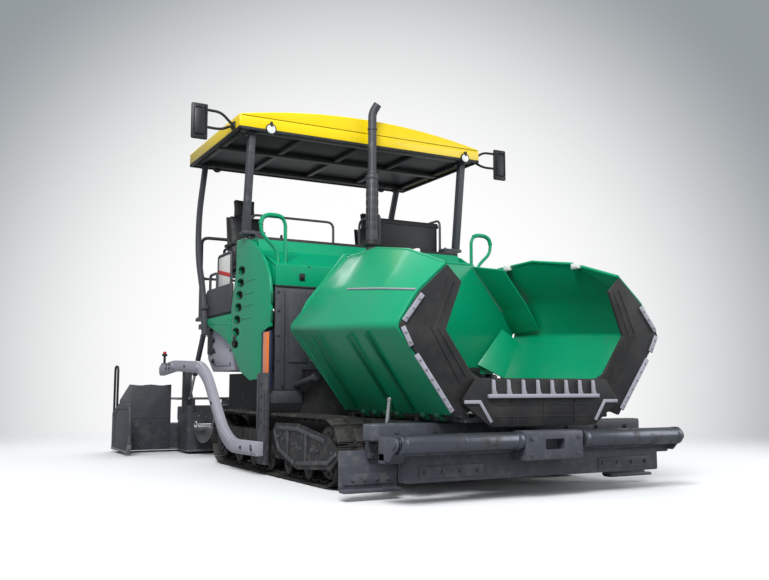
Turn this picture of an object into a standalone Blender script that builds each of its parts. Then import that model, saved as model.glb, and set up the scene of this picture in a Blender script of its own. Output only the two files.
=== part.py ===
"""Tracked asphalt paver: hopper, tractor, platform with roof, augers and towed screed.

Metres, +Z up. The machine drives towards -Y, its left side is +X, and it stands on Z = 0.
The origin is on the floor under the middle of its bounding box.
"""
import bpy
import bmesh
from math import cos, hypot, pi, radians, sin
from mathutils import Matrix, Vector

SIDES = (("right", -1), ("left", 1))

# Driving dimensions
LENGTH = 6.6                      # push rollers to screed walkway
REAR = LENGTH / 2                 # the walkway's rear edge
JOINT_GAP = 0.0005                # between pieces that are bolted face to face
SHEET = 0.03                      # sheet metal and its stiffeners, as one wall

TRACK_OUT, TRACK_WIDTH = 1.275, 0.305
TRACK_IN = TRACK_OUT - TRACK_WIDTH
IDLER_Y, SPROCKET_Y, WHEEL_Z = -1.92, 0.82, 0.29
SHOE_R, LINK_R, LOOP_R = 0.29, 0.262, 0.232
SHOES = 44

RAIL_IN, RAIL_OUT = 0.64, 0.92    # chassis rails, either side of the conveyor tunnel
RAIL_BOTTOM, RAIL_LOW_TOP, RAIL_TOP = 0.30, 0.56, 0.98
RAIL_FRONT, RAIL_STEP, RAIL_REAR = -2.63, -1.05, 1.60
DECK_TOP = 0.59

HINGE_X, HINGE_Z = 0.76, 0.60     # hopper wings turn about this line
WING_SHEET = 0.02
BULKHEAD_Y = -1.16

ROLLER_Y, ROLLER_Z, ROLLER_R = -3.23, 0.43, 0.07
PUSH_BACK = -3.0                  # back face of the push bar, and its pivot
APRON_Y, APRON_PIVOT_Z = -3.155, 0.56

DOOR_X = 1.25
DOOR_HINGE = (DOOR_X + SHEET / 2, -0.67, 1.60)
BODY_X, BODY_FRONT = 1.22, -0.64   # the tractor body's side and its front wall
HOOD_BACK = 0.485
ENGINE_TOP = 1.95
TOW_Y, TOW_Z = -0.60, 0.25        # tow point, where the screed arms turn
ARM_IN, ARM_OUT = 1.345, 1.42

EXHAUST = (0.0, -0.32)
DECK_Z, ROOF_Z = 1.66, 3.44       # operator's floor and the roof's lower edge
ROOF_LOW = 3.45                   # underside of the ceiling frame
ROOF_X, ROOF_FRONT, ROOF_REAR = 1.47, -0.22, 1.585
SEAT_X, SEAT_Y = 0.85, 1.05

AUGER_Y, AUGER_Z, AUGER_R = 1.98, 0.34, 0.19
SCREED_Z = 0.03                   # the screed is carried this far above the floor
SCREED_X, SCREED_FRONT, SCREED_BACK = 1.225, 2.25, 2.72
EXT_IN, EXT_OUT = 0.69, 1.92      # extension at rest

# Cylinders: base pivot and rod eye at rest, barrel length and radius
WING_CYL_Y = -2.45
WING_CYL = {"base": (1.02, 0.20), "eye": (0.9515, 0.7607), "barrel": 0.31, "radius": 0.035}
LIFT_CYL_X = 1.20
LIFT_CYL = {"base": (1.75, 1.47), "eye": (2.30, 0.66), "barrel": 0.60, "radius": 0.034}

COLOURS = {                       # name: (red, green, blue), roughness, metallic
    "green": ((0.0, 0.30, 0.12), 0.35, 0.0),
    "dark_green": ((0.0, 0.16, 0.07), 0.45, 0.0),
    "yellow": ((0.95, 0.72, 0.02), 0.35, 0.0),
    "grey": ((0.16, 0.165, 0.18), 0.5, 0.2),
    "light_grey": ((0.55, 0.55, 0.60), 0.45, 0.1),
    "black": ((0.02, 0.02, 0.022), 0.6, 0.0),
    "rubber": ((0.025, 0.023, 0.02), 0.85, 0.0),
    "steel": ((0.45, 0.45, 0.47), 0.35, 0.8),
}


# ---------------------------------------------------------------- tools

def clear_scene():
    for obj in list(bpy.data.objects):
        bpy.data.objects.remove(obj, do_unlink=True)


def material(name):
    found = bpy.data.materials.get(name)
    if found:
        return found
    colour, roughness, metallic = COLOURS[name]
    made = bpy.data.materials.new(name)
    made.use_nodes = True
    made.diffuse_color = (*colour, 1)
    shader = made.node_tree.nodes["Principled BSDF"]
    shader.inputs["Base Color"].default_value = (*colour, 1)
    shader.inputs["Roughness"].default_value = roughness
    shader.inputs["Metallic"].default_value = metallic
    return made


def keep(obj, name, finish, pivot=(0, 0, 0)):
    """Names the object as a node of the paver, with its own finish and its origin on its pivot."""
    bpy.context.view_layer.update()
    obj.data.transform(Matrix.Translation(-Vector(pivot)) @ obj.matrix_world)
    obj.matrix_world = Matrix.Translation(pivot)
    obj.name = name
    obj.data.name = name
    obj.data.materials.clear()
    obj.data.materials.append(material(finish))
    for collection in list(obj.users_collection):
        collection.objects.unlink(obj)
    PAVER.objects.link(obj)
    if obj.type == "MESH" and len(obj.data.polygons) > 60:
        obj.data.shade_smooth()
        obj.data.set_sharp_from_angle(angle=radians(30))
    return obj


def as_mesh(obj):
    """A curve, or a mesh with modifiers, made a plain mesh at the same place."""
    bpy.context.view_layer.update()
    graph = bpy.context.evaluated_depsgraph_get()
    mesh = bpy.data.meshes.new_from_object(obj.evaluated_get(graph))
    work = bmesh.new()
    work.from_mesh(mesh)
    bmesh.ops.remove_doubles(work, verts=work.verts, dist=1e-5)
    bmesh.ops.recalc_face_normals(work, faces=work.faces)
    work.to_mesh(mesh)
    work.free()
    made = bpy.data.objects.new(obj.name, mesh)
    made.matrix_world = obj.matrix_world.copy()
    bpy.context.scene.collection.objects.link(made)
    bpy.data.objects.remove(obj, do_unlink=True)
    return made


def box(x, y, z, bevel=0.0):
    """A box from (low, high) pairs along X, Y and Z."""
    bpy.ops.mesh.primitive_cube_add(size=1)
    made = bpy.context.object
    spans = (x, y, z)
    size = [abs(high - low) for low, high in spans]
    made.data.transform(Matrix.Diagonal((*size, 1)))
    made.location = [(low + high) / 2 for low, high in spans]
    if not bevel:
        return made
    edge = made.modifiers.new("edge", "BEVEL")
    edge.width, edge.segments = bevel, 2
    return as_mesh(made)


def rod(start, end, radius, sides=16):
    """A round bar between two points."""
    start, end = Vector(start), Vector(end)
    way = end - start
    bpy.ops.mesh.primitive_cylinder_add(vertices=sides, radius=radius, depth=way.length)
    made = bpy.context.object
    turn = way.to_track_quat("Z", "X").to_matrix().to_4x4()
    made.matrix_world = Matrix.Translation((start + end) / 2) @ turn
    return made


def tube(points, radius, sides=3):
    """A bent round tube through the points, with filled ends."""
    data = bpy.data.curves.new("tube", "CURVE")
    data.dimensions, data.bevel_depth = "3D", radius
    data.bevel_resolution, data.use_fill_caps = sides, True
    spline = data.splines.new("POLY")
    spline.points.add(len(points) - 1)
    for point, place in zip(spline.points, points):
        point.co = (*place, 1)
    made = bpy.data.objects.new("tube", data)
    bpy.context.scene.collection.objects.link(made)
    return as_mesh(made)


def plate(outline, axis, low, high, holes=()):
    """A flat outline given thickness along X (outline in Y, Z), Y (in X, Z) or Z (in X, Y)."""
    data = bpy.data.curves.new("plate", "CURVE")
    data.dimensions, data.fill_mode = "2D", "BOTH"
    data.extrude = abs(high - low) / 2
    for ring in (outline, *holes):
        spline = data.splines.new("POLY")
        spline.points.add(len(ring) - 1)
        spline.use_cyclic_u = True
        for point, (a, b) in zip(spline.points, ring):
            point.co = (a, b, 0, 1)
    middle = (low + high) / 2
    turn = {
        "X": Matrix(((0, 0, 1, middle), (1, 0, 0, 0), (0, 1, 0, 0), (0, 0, 0, 1))),
        "Y": Matrix(((1, 0, 0, 0), (0, 0, -1, middle), (0, 1, 0, 0), (0, 0, 0, 1))),
        "Z": Matrix.Translation((0, 0, middle)),
    }[axis]
    made = bpy.data.objects.new("plate", data)
    made.matrix_world = turn
    bpy.context.scene.collection.objects.link(made)
    return as_mesh(made)


def shell(rows, thickness, offset=0.0):
    """A sheet through rows of points, each row a section, thickened by Solidify."""
    work = bmesh.new()
    grid = [[work.verts.new(point) for point in row] for row in rows]
    for first, second in zip(grid, grid[1:]):
        for a, b, c, d in zip(first, first[1:], second[1:], second):
            work.faces.new((a, b, c, d))
    bmesh.ops.recalc_face_normals(work, faces=work.faces)
    mesh = bpy.data.meshes.new("shell")
    work.to_mesh(mesh)
    work.free()
    made = bpy.data.objects.new("shell", mesh)
    bpy.context.scene.collection.objects.link(made)
    wall = made.modifiers.new("wall", "SOLIDIFY")
    wall.thickness, wall.offset, wall.use_even_offset = thickness, offset, True
    return as_mesh(made)


def joined(*pieces):
    """One solid from overlapping pieces."""
    first = pieces[0]
    for other in pieces[1:]:
        join = first.modifiers.new("join", "BOOLEAN")
        join.operation, join.solver, join.object = "UNION", "EXACT", other
        first = as_mesh(first)
        bpy.data.objects.remove(other, do_unlink=True)
    return first


def cut(piece, *cutters):
    for cutter in cutters:
        hole = piece.modifiers.new("hole", "BOOLEAN")
        hole.operation, hole.solver, hole.object = "DIFFERENCE", "EXACT", cutter
        piece = as_mesh(piece)
        bpy.data.objects.remove(cutter, do_unlink=True)
    return piece


def span(side, low, high):
    """(low, high) along X on one side of the machine."""
    return tuple(sorted((side * low, side * high)))


def band(path, width):
    """The outline of a strip of this width along a 2D path, mitred at its bends."""
    left, right = [], []
    for i, (a, b) in enumerate(path):
        before = path[max(i - 1, 0)]
        after = path[min(i + 1, len(path) - 1)]
        ways = []
        for start, end in ((before, (a, b)), ((a, b), after)):
            length = hypot(end[0] - start[0], end[1] - start[1])
            if length > 0:
                ways.append(((end[0] - start[0]) / length, (end[1] - start[1]) / length))
        normal = (-(ways[0][1] + ways[-1][1]), ways[0][0] + ways[-1][0])
        size = hypot(*normal)
        normal = (normal[0] / size, normal[1] / size)
        spread = width / 2 / max(0.3, -normal[0] * ways[0][1] + normal[1] * ways[0][0])
        left.append((a + normal[0] * spread, b + normal[1] * spread))
        right.append((a - normal[0] * spread, b - normal[1] * spread))
    return left + right[::-1]


def mirrored(half):
    """A closed outline from the points of its +X half, bottom to top."""
    return list(half) + [(-a, b) for a, b in reversed(half)]


# ---------------------------------------------------------------- tracks and frame

def loop_point(share, radius):
    """A point a share of the way round the track's loop, this far outside its wheels' line."""
    straight = SPROCKET_Y - IDLER_Y
    arc = pi * SHOE_R
    along = (share % 1) * 2 * (straight + arc)
    if along < straight:
        return IDLER_Y + along, WHEEL_Z - radius
    along -= straight
    if along < arc:
        turn = along / SHOE_R
        return SPROCKET_Y + radius * sin(turn), WHEEL_Z - radius * cos(turn)
    along -= arc
    if along < straight:
        return SPROCKET_Y - along, WHEEL_Z + radius
    turn = (along - straight) / SHOE_R
    return IDLER_Y - radius * sin(turn), WHEEL_Z + radius * cos(turn)


def track(side):
    outer = []
    for shoe in range(SHOES):
        for share, radius in ((0.06, LINK_R), (0.14, SHOE_R), (0.86, SHOE_R), (0.94, LINK_R)):
            outer.append(loop_point((shoe + share) / SHOES, radius))
    inner = [loop_point((shoe + 0.5) / SHOES, LOOP_R) for shoe in range(SHOES)]
    return plate(outer, "X", *span(side, TRACK_IN, TRACK_OUT), holes=[inner])


def track_frame(side):
    """Roller beam, sprocket, idler and rollers, with the cover plate over the front of the track."""
    beam = box(span(side, 1.00, 1.24), (-1.72, 0.62), (0.17, 0.41))
    wheels = [
        rod((side * 1.02, y, WHEEL_Z), (side * 1.225, y, WHEEL_Z), 0.215, 20)
        for y in (IDLER_Y, SPROCKET_Y)
    ]
    rollers = [
        rod((side * 1.01, y, 0.145), (side * 1.235, y, 0.145), 0.08, 12)
        for y in (-1.50, -1.05, -0.60, -0.15, 0.30)
    ]
    carrier = box(span(side, 1.23, 1.29), (-1.60, -1.10), (0.22, 0.38))
    cover = plate(
        [(-2.30, 0.30), (-2.12, 0.17), (-1.41, 0.12), (-0.96, 0.25), (-0.84, 0.43),
         (-0.92, 0.50), (-1.40, 0.51), (-2.02, 0.43)],
        "X", *span(side, 1.285, 1.305),
    )
    hanger = box(span(side, RAIL_OUT + JOINT_GAP, 1.01), (-1.20, 0.20), (0.31, 0.40))
    return joined(beam, *wheels, *rollers, carrier, cover, hanger)


def main_frame():
    """Two rails, stepped up behind the hopper, a roof over the conveyor tunnel and a front tie."""
    rail = [(RAIL_FRONT, RAIL_BOTTOM), (RAIL_REAR, RAIL_BOTTOM), (RAIL_REAR, RAIL_TOP),
            (RAIL_STEP, RAIL_TOP), (RAIL_STEP, RAIL_LOW_TOP), (RAIL_FRONT, RAIL_LOW_TOP)]
    rails = [plate(rail, "X", *span(side, RAIL_IN, RAIL_OUT)) for _, side in SIDES]
    cover = box((-0.70, 0.70), (RAIL_STEP, RAIL_REAR), (0.95, RAIL_TOP))
    ties = [box((-0.70, 0.70), (y, y + 0.14), (0.32, 0.46)) for y in (RAIL_FRONT + 0.01, -0.9, 1.3)]
    hinges = [
        rod((side * HINGE_X, -3.0, HINGE_Z), (side * HINGE_X, -1.40, HINGE_Z), 0.02, 10)
        for _, side in SIDES
    ]
    blocks = [
        box(span(side, HINGE_X - 0.03, HINGE_X + 0.03), (y, y + 0.05), (0.54, HINGE_Z))
        for _, side in SIDES for y in (-2.60, -1.50)
    ]
    base_x, base_z = WING_CYL["base"]
    clevises = [
        box(span(side, 0.90, base_x + 0.04), (y, y + 0.03), (base_z - 0.04, 0.37))
        for _, side in SIDES for y in (WING_CYL_Y - 0.08, WING_CYL_Y + 0.05)
    ]
    case = box((-0.055, 0.055), (RAIL_REAR - 0.02, AUGER_Y + 0.12), (0.20, 0.90))
    bridge = box((-0.70, 0.70), (RAIL_REAR - 0.03, RAIL_REAR + 0.12), (0.86, 0.96))
    return joined(*rails, cover, *ties, *hinges, *blocks, *clevises, case, bridge)


def conveyor_deck():
    return box((-RAIL_IN + JOINT_GAP, RAIL_IN - JOINT_GAP), (-3.02, RAIL_REAR - 0.05),
               (RAIL_LOW_TOP + JOINT_GAP, DECK_TOP))


def front_beam():
    """The bumper beam with its rounded ends, the push bar's pivot and the ploughs before the tracks."""
    ends = [(1.24, -2.85), (1.31, -2.82), (1.34, -2.75), (1.31, -2.68), (1.24, -2.645)]
    outline = ends + [(-x, y) for x, y in reversed(ends)]
    beam = plate(outline, "Z", 0.43, 0.555)
    pivot = box((-0.08, 0.08), (PUSH_BACK + 0.015, -2.80), (0.20, 0.50))
    ploughs = []
    for _, side in SIDES:
        ploughs.append(box(span(side, 1.02, 1.50), (-2.68, -2.655), (0.07, 0.36)))
        ploughs.append(box(span(side, 1.02, 1.50), (-2.76, -2.67), (0.06, 0.085)))
        ploughs.append(box(span(side, 1.06, 1.12), (-2.72, -2.66), (0.30, 0.45)))
        ploughs.append(box(span(side, 1.22, 1.28), (-2.72, -2.66), (0.30, 0.45)))
    return joined(beam, pivot, *ploughs)


# ---------------------------------------------------------------- hopper

# Sections of a wing: for each edge, (x, y, z) from the hinge to the top
WING_SECTIONS = (
    ((0.795, -3.10, 0.625), (1.265, -3.10, 1.26), (1.09, -3.10, 1.52), (0.845, -3.10, 1.735)),
    ((0.795, -2.55, 0.625), (1.265, -2.55, 1.29), (1.10, -2.55, 1.58), (0.835, -2.55, 1.91)),
    ((0.795, -2.00, 0.625), (1.265, -2.00, 1.315), (1.10, -2.00, 1.63), (0.83, -2.00, 2.00)),
    ((0.795, -1.36, 0.625), (1.265, -1.14, 1.36), (1.10, -1.44, 1.69), (0.83, -1.45, 1.99)),
)
# The rear corner of a wing is closed by a sloping gusset
GUSSET = (
    ((1.06, -1.185, 1.415), (0.75, -1.185, 1.05)),
    ((1.225, -1.25, 1.28), (0.985, -1.34, 0.90)),
)
# The fixed cheek inside a wing's upper rear corner, from the bulkhead forwards
CHEEK = (
    ((1.217, -1.147, 1.372), (1.085, -1.147, 1.60), (0.72, -1.147, 2.05)),
    ((1.205, -1.60, 1.39), (1.065, -1.60, 1.625), (0.785, -1.60, 1.965)),
)


def wing(side):
    body = shell([[(side * x, y, z) for x, y, z in row] for row in WING_SECTIONS], WING_SHEET)
    gusset = shell([[(side * x, y, z) for x, y, z in row] for row in GUSSET], WING_SHEET)
    return joined(body, gusset)


def wing_flap(side):
    """The rubber flap along a wing's front edge."""
    outer = [(0.79, 0.60), (1.25, 1.255), (1.075, 1.51), (0.84, 1.72)]
    inner = [(0.72, 1.60), (0.86, 1.24), (0.64, 0.93), (0.50, 0.86), (0.50, 0.70)]
    return plate([(side * x, z) for x, z in outer + inner], "Y", -3.13, -3.1005)


def front_apron():
    """The hinged flap that closes the hopper's front, over the push bar."""
    half = [(0.50, 0.53), (0.74, 0.70), (0.74, 0.74), (0.62, 0.89)]
    sheet = plate(mirrored(half), "Y", APRON_Y - 0.012, APRON_Y + 0.012)
    rib = box((-0.53, 0.53), (APRON_Y - 0.035, APRON_Y), (0.745, 0.775))
    return joined(sheet, rib)


def bulkhead():
    """The hopper's rear wall over the tunnel mouth, with its braces and the cheeks that meet the wings."""
    half = [(0.96, 0.955), (1.21, 1.345), (1.225, 1.39), (1.105, 1.615), (0.73, 2.075)]
    wall = plate(mirrored(half), "Y", BULKHEAD_Y, BULKHEAD_Y + SHEET)
    sides = []
    for _, side in SIDES:
        sides.append(shell([[(side * x, y, z) for x, y, z in row] for row in CHEEK], WING_SHEET))
        brace = [(BULKHEAD_Y + 0.01, RAIL_TOP + JOINT_GAP), (-0.72, RAIL_TOP + JOINT_GAP), (-0.72, 1.10),
                 (BULKHEAD_Y + 0.01, 1.70)]
        sides.append(plate(brace, "X", *span(side, 0.74, 0.74 + SHEET)))
    return joined(wall, *sides)


# ---------------------------------------------------------------- tractor body

DOOR_OUTLINE = (                   # (y, z), with the curved front shoulder
    (0.36, 2.38), (0.12, 2.375), (-0.12, 2.31), (-0.34, 2.19), (-0.52, 2.04), (-0.63, 1.88),
    (-0.665, 1.74), (-0.665, 1.40), (-0.45, 1.37), (-0.45, 0.91), (-0.11, 0.89),
    (0.17, 0.98), (0.50, 1.25), (0.50, 1.66), (0.36, 2.07),
)
TAIL_OUTLINE = ((0.515, 1.27), (0.83, 1.39), (1.62, 1.61), (0.515, 1.61))


def hood():
    """The green cowl over the engine: a stepped front, a flat top and a back, with two grab hoops."""
    section = [(BODY_FRONT, 1.80), (BODY_FRONT, 2.00), (-0.17, 2.20), (-0.11, 2.345),
               (HOOD_BACK, 2.345), (HOOD_BACK, DECK_Z + 0.02)]
    cowl = plate(band(section, SHEET), "X", -BODY_X, BODY_X)
    hoops = []
    for _, side in SIDES:
        path = [(1.10, 2.00), (1.10, 2.42), (1.13, 2.48), (1.18, 2.50), (1.28, 2.50), (1.34, 2.47),
                (1.36, 2.40), (1.34, 2.30), (1.19, 2.16), (1.17, 2.00)]
        hoops.append(tube([(side * x, -0.58, z) for x, z in path], 0.018))
    pipe_hole = rod((*EXHAUST, 2.0), (*EXHAUST, 2.6), 0.082, 20)
    return cut(joined(cowl, *hoops), pipe_hole)


def front_wall():
    """Grey wall under the hood's front, over the rails, with a stop bar behind each wing."""
    outline = [(0.93, 0.80), (BODY_X, 0.80), (BODY_X, 1.7995), (-BODY_X, 1.7995), (-BODY_X, 0.80),
               (-0.93, 0.80), (-0.93, 0.99), (0.93, 0.99)]
    wall = plate(outline, "Y", BODY_FRONT - 0.01, BODY_FRONT + SHEET)
    stops = [rod((side, BODY_FRONT, 0.84), (side, -1.115, 0.92), 0.028) for _, side in SIDES]
    feet = [box(span(side, 0.80, 1.0), (BODY_FRONT + 0.01, BODY_FRONT + 0.06), (RAIL_TOP + JOINT_GAP, 1.05))
            for _, side in SIDES]
    return joined(wall, *stops, *feet)


def service_door(side):
    door = plate(DOOR_OUTLINE, "X", *span(side, DOOR_X, DOOR_X + SHEET))
    vents = [
        rod((side * 1.2, 0.17 + 0.03 * k, 2.04 - 0.127 * k), (side * 1.4, 0.17 + 0.03 * k, 2.04 - 0.127 * k),
            0.036, 12)
        for k in range(7)
    ]
    return cut(door, *vents)


def tail_panel(side):
    """Green panel behind the door, with the lug that holds it to the rear body."""
    return joined(
        plate(TAIL_OUTLINE, "X", *span(side, DOOR_X, DOOR_X + SHEET)),
        box(span(side, BODY_X + JOINT_GAP, DOOR_X + 0.01), (0.70, 0.90), (1.45, 1.58)),
    )


def rear_body():
    """Tanks and coolers under the operator's floor, with the lift cylinders' clevises."""
    outline = [(0.58, 1.00), (1.30, 1.00), (1.50, 1.15), (1.50, 1.615), (0.58, 1.615)]
    body = plate(outline, "X", -BODY_X, BODY_X)
    y, z = LIFT_CYL["base"]
    lugs = []
    for _, side in SIDES:
        lugs.append(box(span(side, 1.13, 1.245), (1.48, y + 0.08), (z + 0.045, 1.58)))
        lugs.append(box(span(side, 1.13, 1.15), (y - 0.05, y + 0.05), (z - 0.04, 1.57)))
    return joined(body, *lugs)


def platform():
    """Operator's floor with its raised side walls."""
    floor = box((-1.25, 1.25), (HOOD_BACK + 0.025, 1.95), (1.62, DECK_Z))
    walls = [
        plate([(0.56, 1.64), (1.60, 1.64), (1.60, 1.80), (1.42, 1.95), (0.56, 1.95)],
              "X", *span(side, 1.235, 1.27))
        for _, side in SIDES
    ]
    step = box((-0.45, 0.45), (1.90, 2.02), (1.30, 1.645), 0.01)
    return joined(floor, *walls, step)


def front_post(side):
    """Roof post on the hood's top corner, leaning forward."""
    path = [(0.04, 2.40), (-0.11, 3.60)]
    pole = plate(band(path, 0.085), "X", *span(side, 1.26, 1.33))
    foot = box(span(side, 1.10, 1.34), (-0.03, 0.11), (2.395, 2.43))
    spacer = box(span(side, 1.10, 1.21), (-0.03, 0.11), (2.3605, 2.41))
    return cut(joined(pole, foot, spacer), roof_space())


def rear_post(side):
    """Roof post from beside the floor, bent back and forward again."""
    path = [(1.36, 1.42), (1.44, 1.90), (1.70, 2.40), (1.70, 2.90), (1.41, 3.60)]
    pole = plate(band(path, 0.085), "X", *span(side, DOOR_X + SHEET + JOINT_GAP, 1.335))
    return cut(pole, roof_space())


def roof_space():
    """Cutter for what stands up to the roof's ceiling frame."""
    return box((-2, 2), (-1, 2.5), (ROOF_LOW - JOINT_GAP, 4.2))


def roof():
    """The crowned roof shell, open below."""
    crown = [(ROOF_X * (1 - k / 6), 3.60 + 0.15 * (1 - (1 - k / 6) ** 2)) for k in range(6)]
    half = [(ROOF_X - 0.03, ROOF_Z), (ROOF_X, ROOF_Z + 0.03), *crown]
    outline = half + [(0, 3.75)] + [(-x, z) for x, z in reversed(half)]
    body = plate(outline, "Y", ROOF_FRONT, ROOF_REAR)
    hollow = box((-ROOF_X + 0.04, ROOF_X - 0.04), (ROOF_FRONT + 0.04, ROOF_REAR - 0.04), (3.30, 3.56))
    return cut(body, hollow)


def roof_liner():
    """The dark ceiling frame inside the roof, on which the posts end."""
    ceiling = box((-1.42, 1.42), (ROOF_FRONT + 0.05, ROOF_REAR - 0.05), (3.50, 3.555))
    rims = [
        box((-1.42, 1.42), (y, y + 0.10), (ROOF_LOW, 3.51))
        for y in (ROOF_FRONT + 0.05, ROOF_REAR - 0.15)
    ]
    return joined(ceiling, *rims)


def exhaust():
    x, y = EXHAUST
    lower = rod((x, y, ENGINE_TOP + JOINT_GAP), (x, y, 3.10), 0.072, 20)
    upper = rod((x, y, 3.06), (x, y, 3.78), 0.05, 20)
    tip = tube([(x, y, 3.74), (x + 0.01, y - 0.01, 3.80), (x + 0.05, y - 0.04, 3.90)], 0.046)
    return joined(lower, upper, tip)


def console():
    """The driver's panel on its pedestal, behind and over the hood's left part."""
    pedestal = box((0.62, 0.92), (0.52, 0.64), (DECK_Z + JOINT_GAP, 2.42))
    side_view = [(0.20, 2.375), (0.66, 2.375), (0.66, 2.50), (0.42, 2.72), (0.20, 2.72)]
    return joined(plate(side_view, "X", 0.38, 1.15), pedestal)


def seat(side):
    x = side * SEAT_X
    base = rod((x, SEAT_Y, DECK_Z + 0.006), (x, SEAT_Y, 2.18), 0.11, 14)
    cushion = box((x - 0.25, x + 0.25), (0.80, 1.30), (2.14, 2.30), 0.03)
    back = plate(band([(1.24, 2.20), (1.36, 2.86)], 0.12), "X", x - 0.23, x + 0.23)
    head = box((x - 0.13, x + 0.13), (1.33, 1.43), (2.80, 3.06), 0.02)
    arms = [
        box((x + k * 0.27 - 0.03, x + k * 0.27 + 0.03), (0.88, 1.32), (2.28, 2.48), 0.01)
        for k in (-1, 1)
    ]
    ties = [box((x - 0.27, x + 0.27), (1.22, 1.30), (2.34, 2.42))]
    return joined(cushion, base, back, head, *arms, *ties)


def mirror(side):
    """A mirror on its two-tube bracket beside the roof."""
    glass = box(span(side, 1.76, 1.94), (-0.12, -0.07), (3.30, 3.68), 0.015)
    arms = [
        tube([(side * (ROOF_X + 0.01), -0.05, 3.51), (side * 1.62, -0.08, z), (side * 1.80, -0.095, z)],
             0.014, 2)
        for z in (3.44, 3.62)
    ]
    foot = box(span(side, ROOF_X + JOINT_GAP, ROOF_X + 0.02), (-0.10, 0.0), (3.475, 3.545))
    return joined(glass, foot, *arms)


def rear_rail(side):
    """A hand rail loop at the back of the floor."""
    y = 1.92
    inner, outer = side * 0.62, side * 1.20
    path = [(inner, y, DECK_Z + JOINT_GAP), (inner, y, 2.60), (inner + side * 0.05, y, 2.66),
            (outer - side * 0.05, y, 2.66), (outer, y, 2.60), (outer, y, DECK_Z + JOINT_GAP)]
    middle = rod((inner, y, 2.15), (outer, y, 2.15), 0.016, 8)
    return joined(tube(path, 0.021, 2), middle)


def tow_column(side):
    """The guide outside the track that carries a screed arm's front end, with a marker plate above."""
    column = box(span(side, 1.285, 1.335), (-0.70, -0.50), (0.10, 0.96))
    marker = box(span(side, 1.26, 1.295), (-0.695, -0.47), (0.80, 1.36))
    bracket = box(span(side, RAIL_OUT + JOINT_GAP, 1.30), (-0.66, -0.57), (0.67, 0.79))
    pin = rod((side * 1.33, TOW_Y, TOW_Z), (side * 1.432, TOW_Y, TOW_Z), 0.03, 12)
    return joined(column, marker, bracket, pin)


# ---------------------------------------------------------------- moving tools

def push_bar():
    beam = box((-1.20, 1.20), (-3.13, PUSH_BACK), (0.15, 0.345))
    top = box((-1.355, 1.355), (-3.10, PUSH_BACK), (0.29, 0.37))
    ends = [box(span(side, 1.335, 1.355), (-3.28, PUSH_BACK - 0.01), (0.31, 0.48)) for _, side in SIDES]
    middle = box((-0.28, 0.28), (-3.285, -3.11), (0.28, 0.50))
    slot = box((-0.09, 0.09), (-3.40, -3.20), (0.36, 0.44))
    return cut(joined(beam, top, *ends, middle), slot)


def push_roller(side):
    drum = rod((side * 0.292, ROLLER_Y, ROLLER_Z), (side * 1.323, ROLLER_Y, ROLLER_Z), ROLLER_R, 24)
    axle = rod((side * 0.284, ROLLER_Y, ROLLER_Z), (side * 1.331, ROLLER_Y, ROLLER_Z), 0.022, 12)
    return joined(drum, axle)


def screed_arm(side):
    path = [(-0.72, 0.25), (0.05, 0.24), (0.35, 0.36), (0.95, 0.93),
            (1.22, 1.05), (2.30, 1.09), (2.95, 1.04)]
    arm = plate(band(path, 0.135), "X", *span(side, ARM_IN, ARM_OUT))
    eye = rod((side * 1.2, TOW_Y, TOW_Z), (side * 1.6, TOW_Y, TOW_Z), 0.032, 16)
    return cut(arm, eye)


def screed():
    """The fixed middle of the screed with its posts to the arms, guide beam, lift lugs and walkway."""
    outline = [(SCREED_FRONT, SCREED_Z), (SCREED_BACK, SCREED_Z), (SCREED_BACK, 0.45), (2.42, 0.50),
               (2.30, 0.60), (SCREED_FRONT, 0.60)]
    body = plate(outline, "X", -SCREED_X, SCREED_X)
    guide = box((-1.215, 1.215), (SCREED_BACK - 0.08, SCREED_BACK + 0.08), (0.40, 0.58))
    walkway = box((-1.20, 1.20), (2.86, REAR), (0.66, 0.69))
    brackets = [
        box((x - 0.03, x + 0.03), (SCREED_BACK + 0.02, 3.10), (0.53, 0.67)) for x in (-0.5, 0, 0.5)
    ]
    eye_y, eye_z = LIFT_CYL["eye"]
    posts = []
    for _, side in SIDES:
        posts.append(box(span(side, 1.13, 1.22), (2.44, 2.58), (0.42, 1.13)))
        posts.append(box(span(side, 1.14, ARM_IN - JOINT_GAP), (2.45, 2.57), (1.03, 1.12)))
        posts.append(box(span(side, 1.14, 1.172), (eye_y - 0.08, eye_y + 0.06), (0.52, eye_z + 0.04)))
    return joined(body, guide, walkway, *brackets, *posts)


def extension(side):
    """A sliding screed half with its front guard, step, end gate and handle."""
    outline = [(2.83, SCREED_Z), (3.20, SCREED_Z), (3.20, 0.36), (2.83, 0.36)]
    body = plate(outline, "X", *span(side, EXT_IN, EXT_OUT))
    corners = ((1.29, 0.04), (1.94, 0.04), (1.94, 0.66), (1.82, 0.86), (1.29, 0.86))
    guard_outline = [(side * x, z) for x, z in corners]
    guard = plate(guard_outline, "Y", 2.82, 2.845)
    step = box(span(side, 1.29, EXT_OUT), (2.83, REAR - 0.01), (0.46, 0.49))
    riser = box(span(side, 1.5, 1.6), (2.85, 2.95), (0.30, 0.48))
    gate = plate([(2.30, 0.03), (3.24, 0.03), (3.24, 0.50), (2.86, 0.62), (2.30, 0.62), (2.24, 0.50),
                  (2.24, 0.10)],
                 "X", *span(side, EXT_OUT - 0.01, EXT_OUT + 0.03))
    x = side * (EXT_OUT + 0.01)
    handle = tube([(x, 3.02, 0.40), (x, 3.02, 1.04), (x, 3.06, 1.09), (x, 3.16, 1.09), (x, 3.20, 1.04),
                   (x, 3.20, 0.40)], 0.015, 2)
    return joined(body, guard, step, riser, gate, handle)


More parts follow.
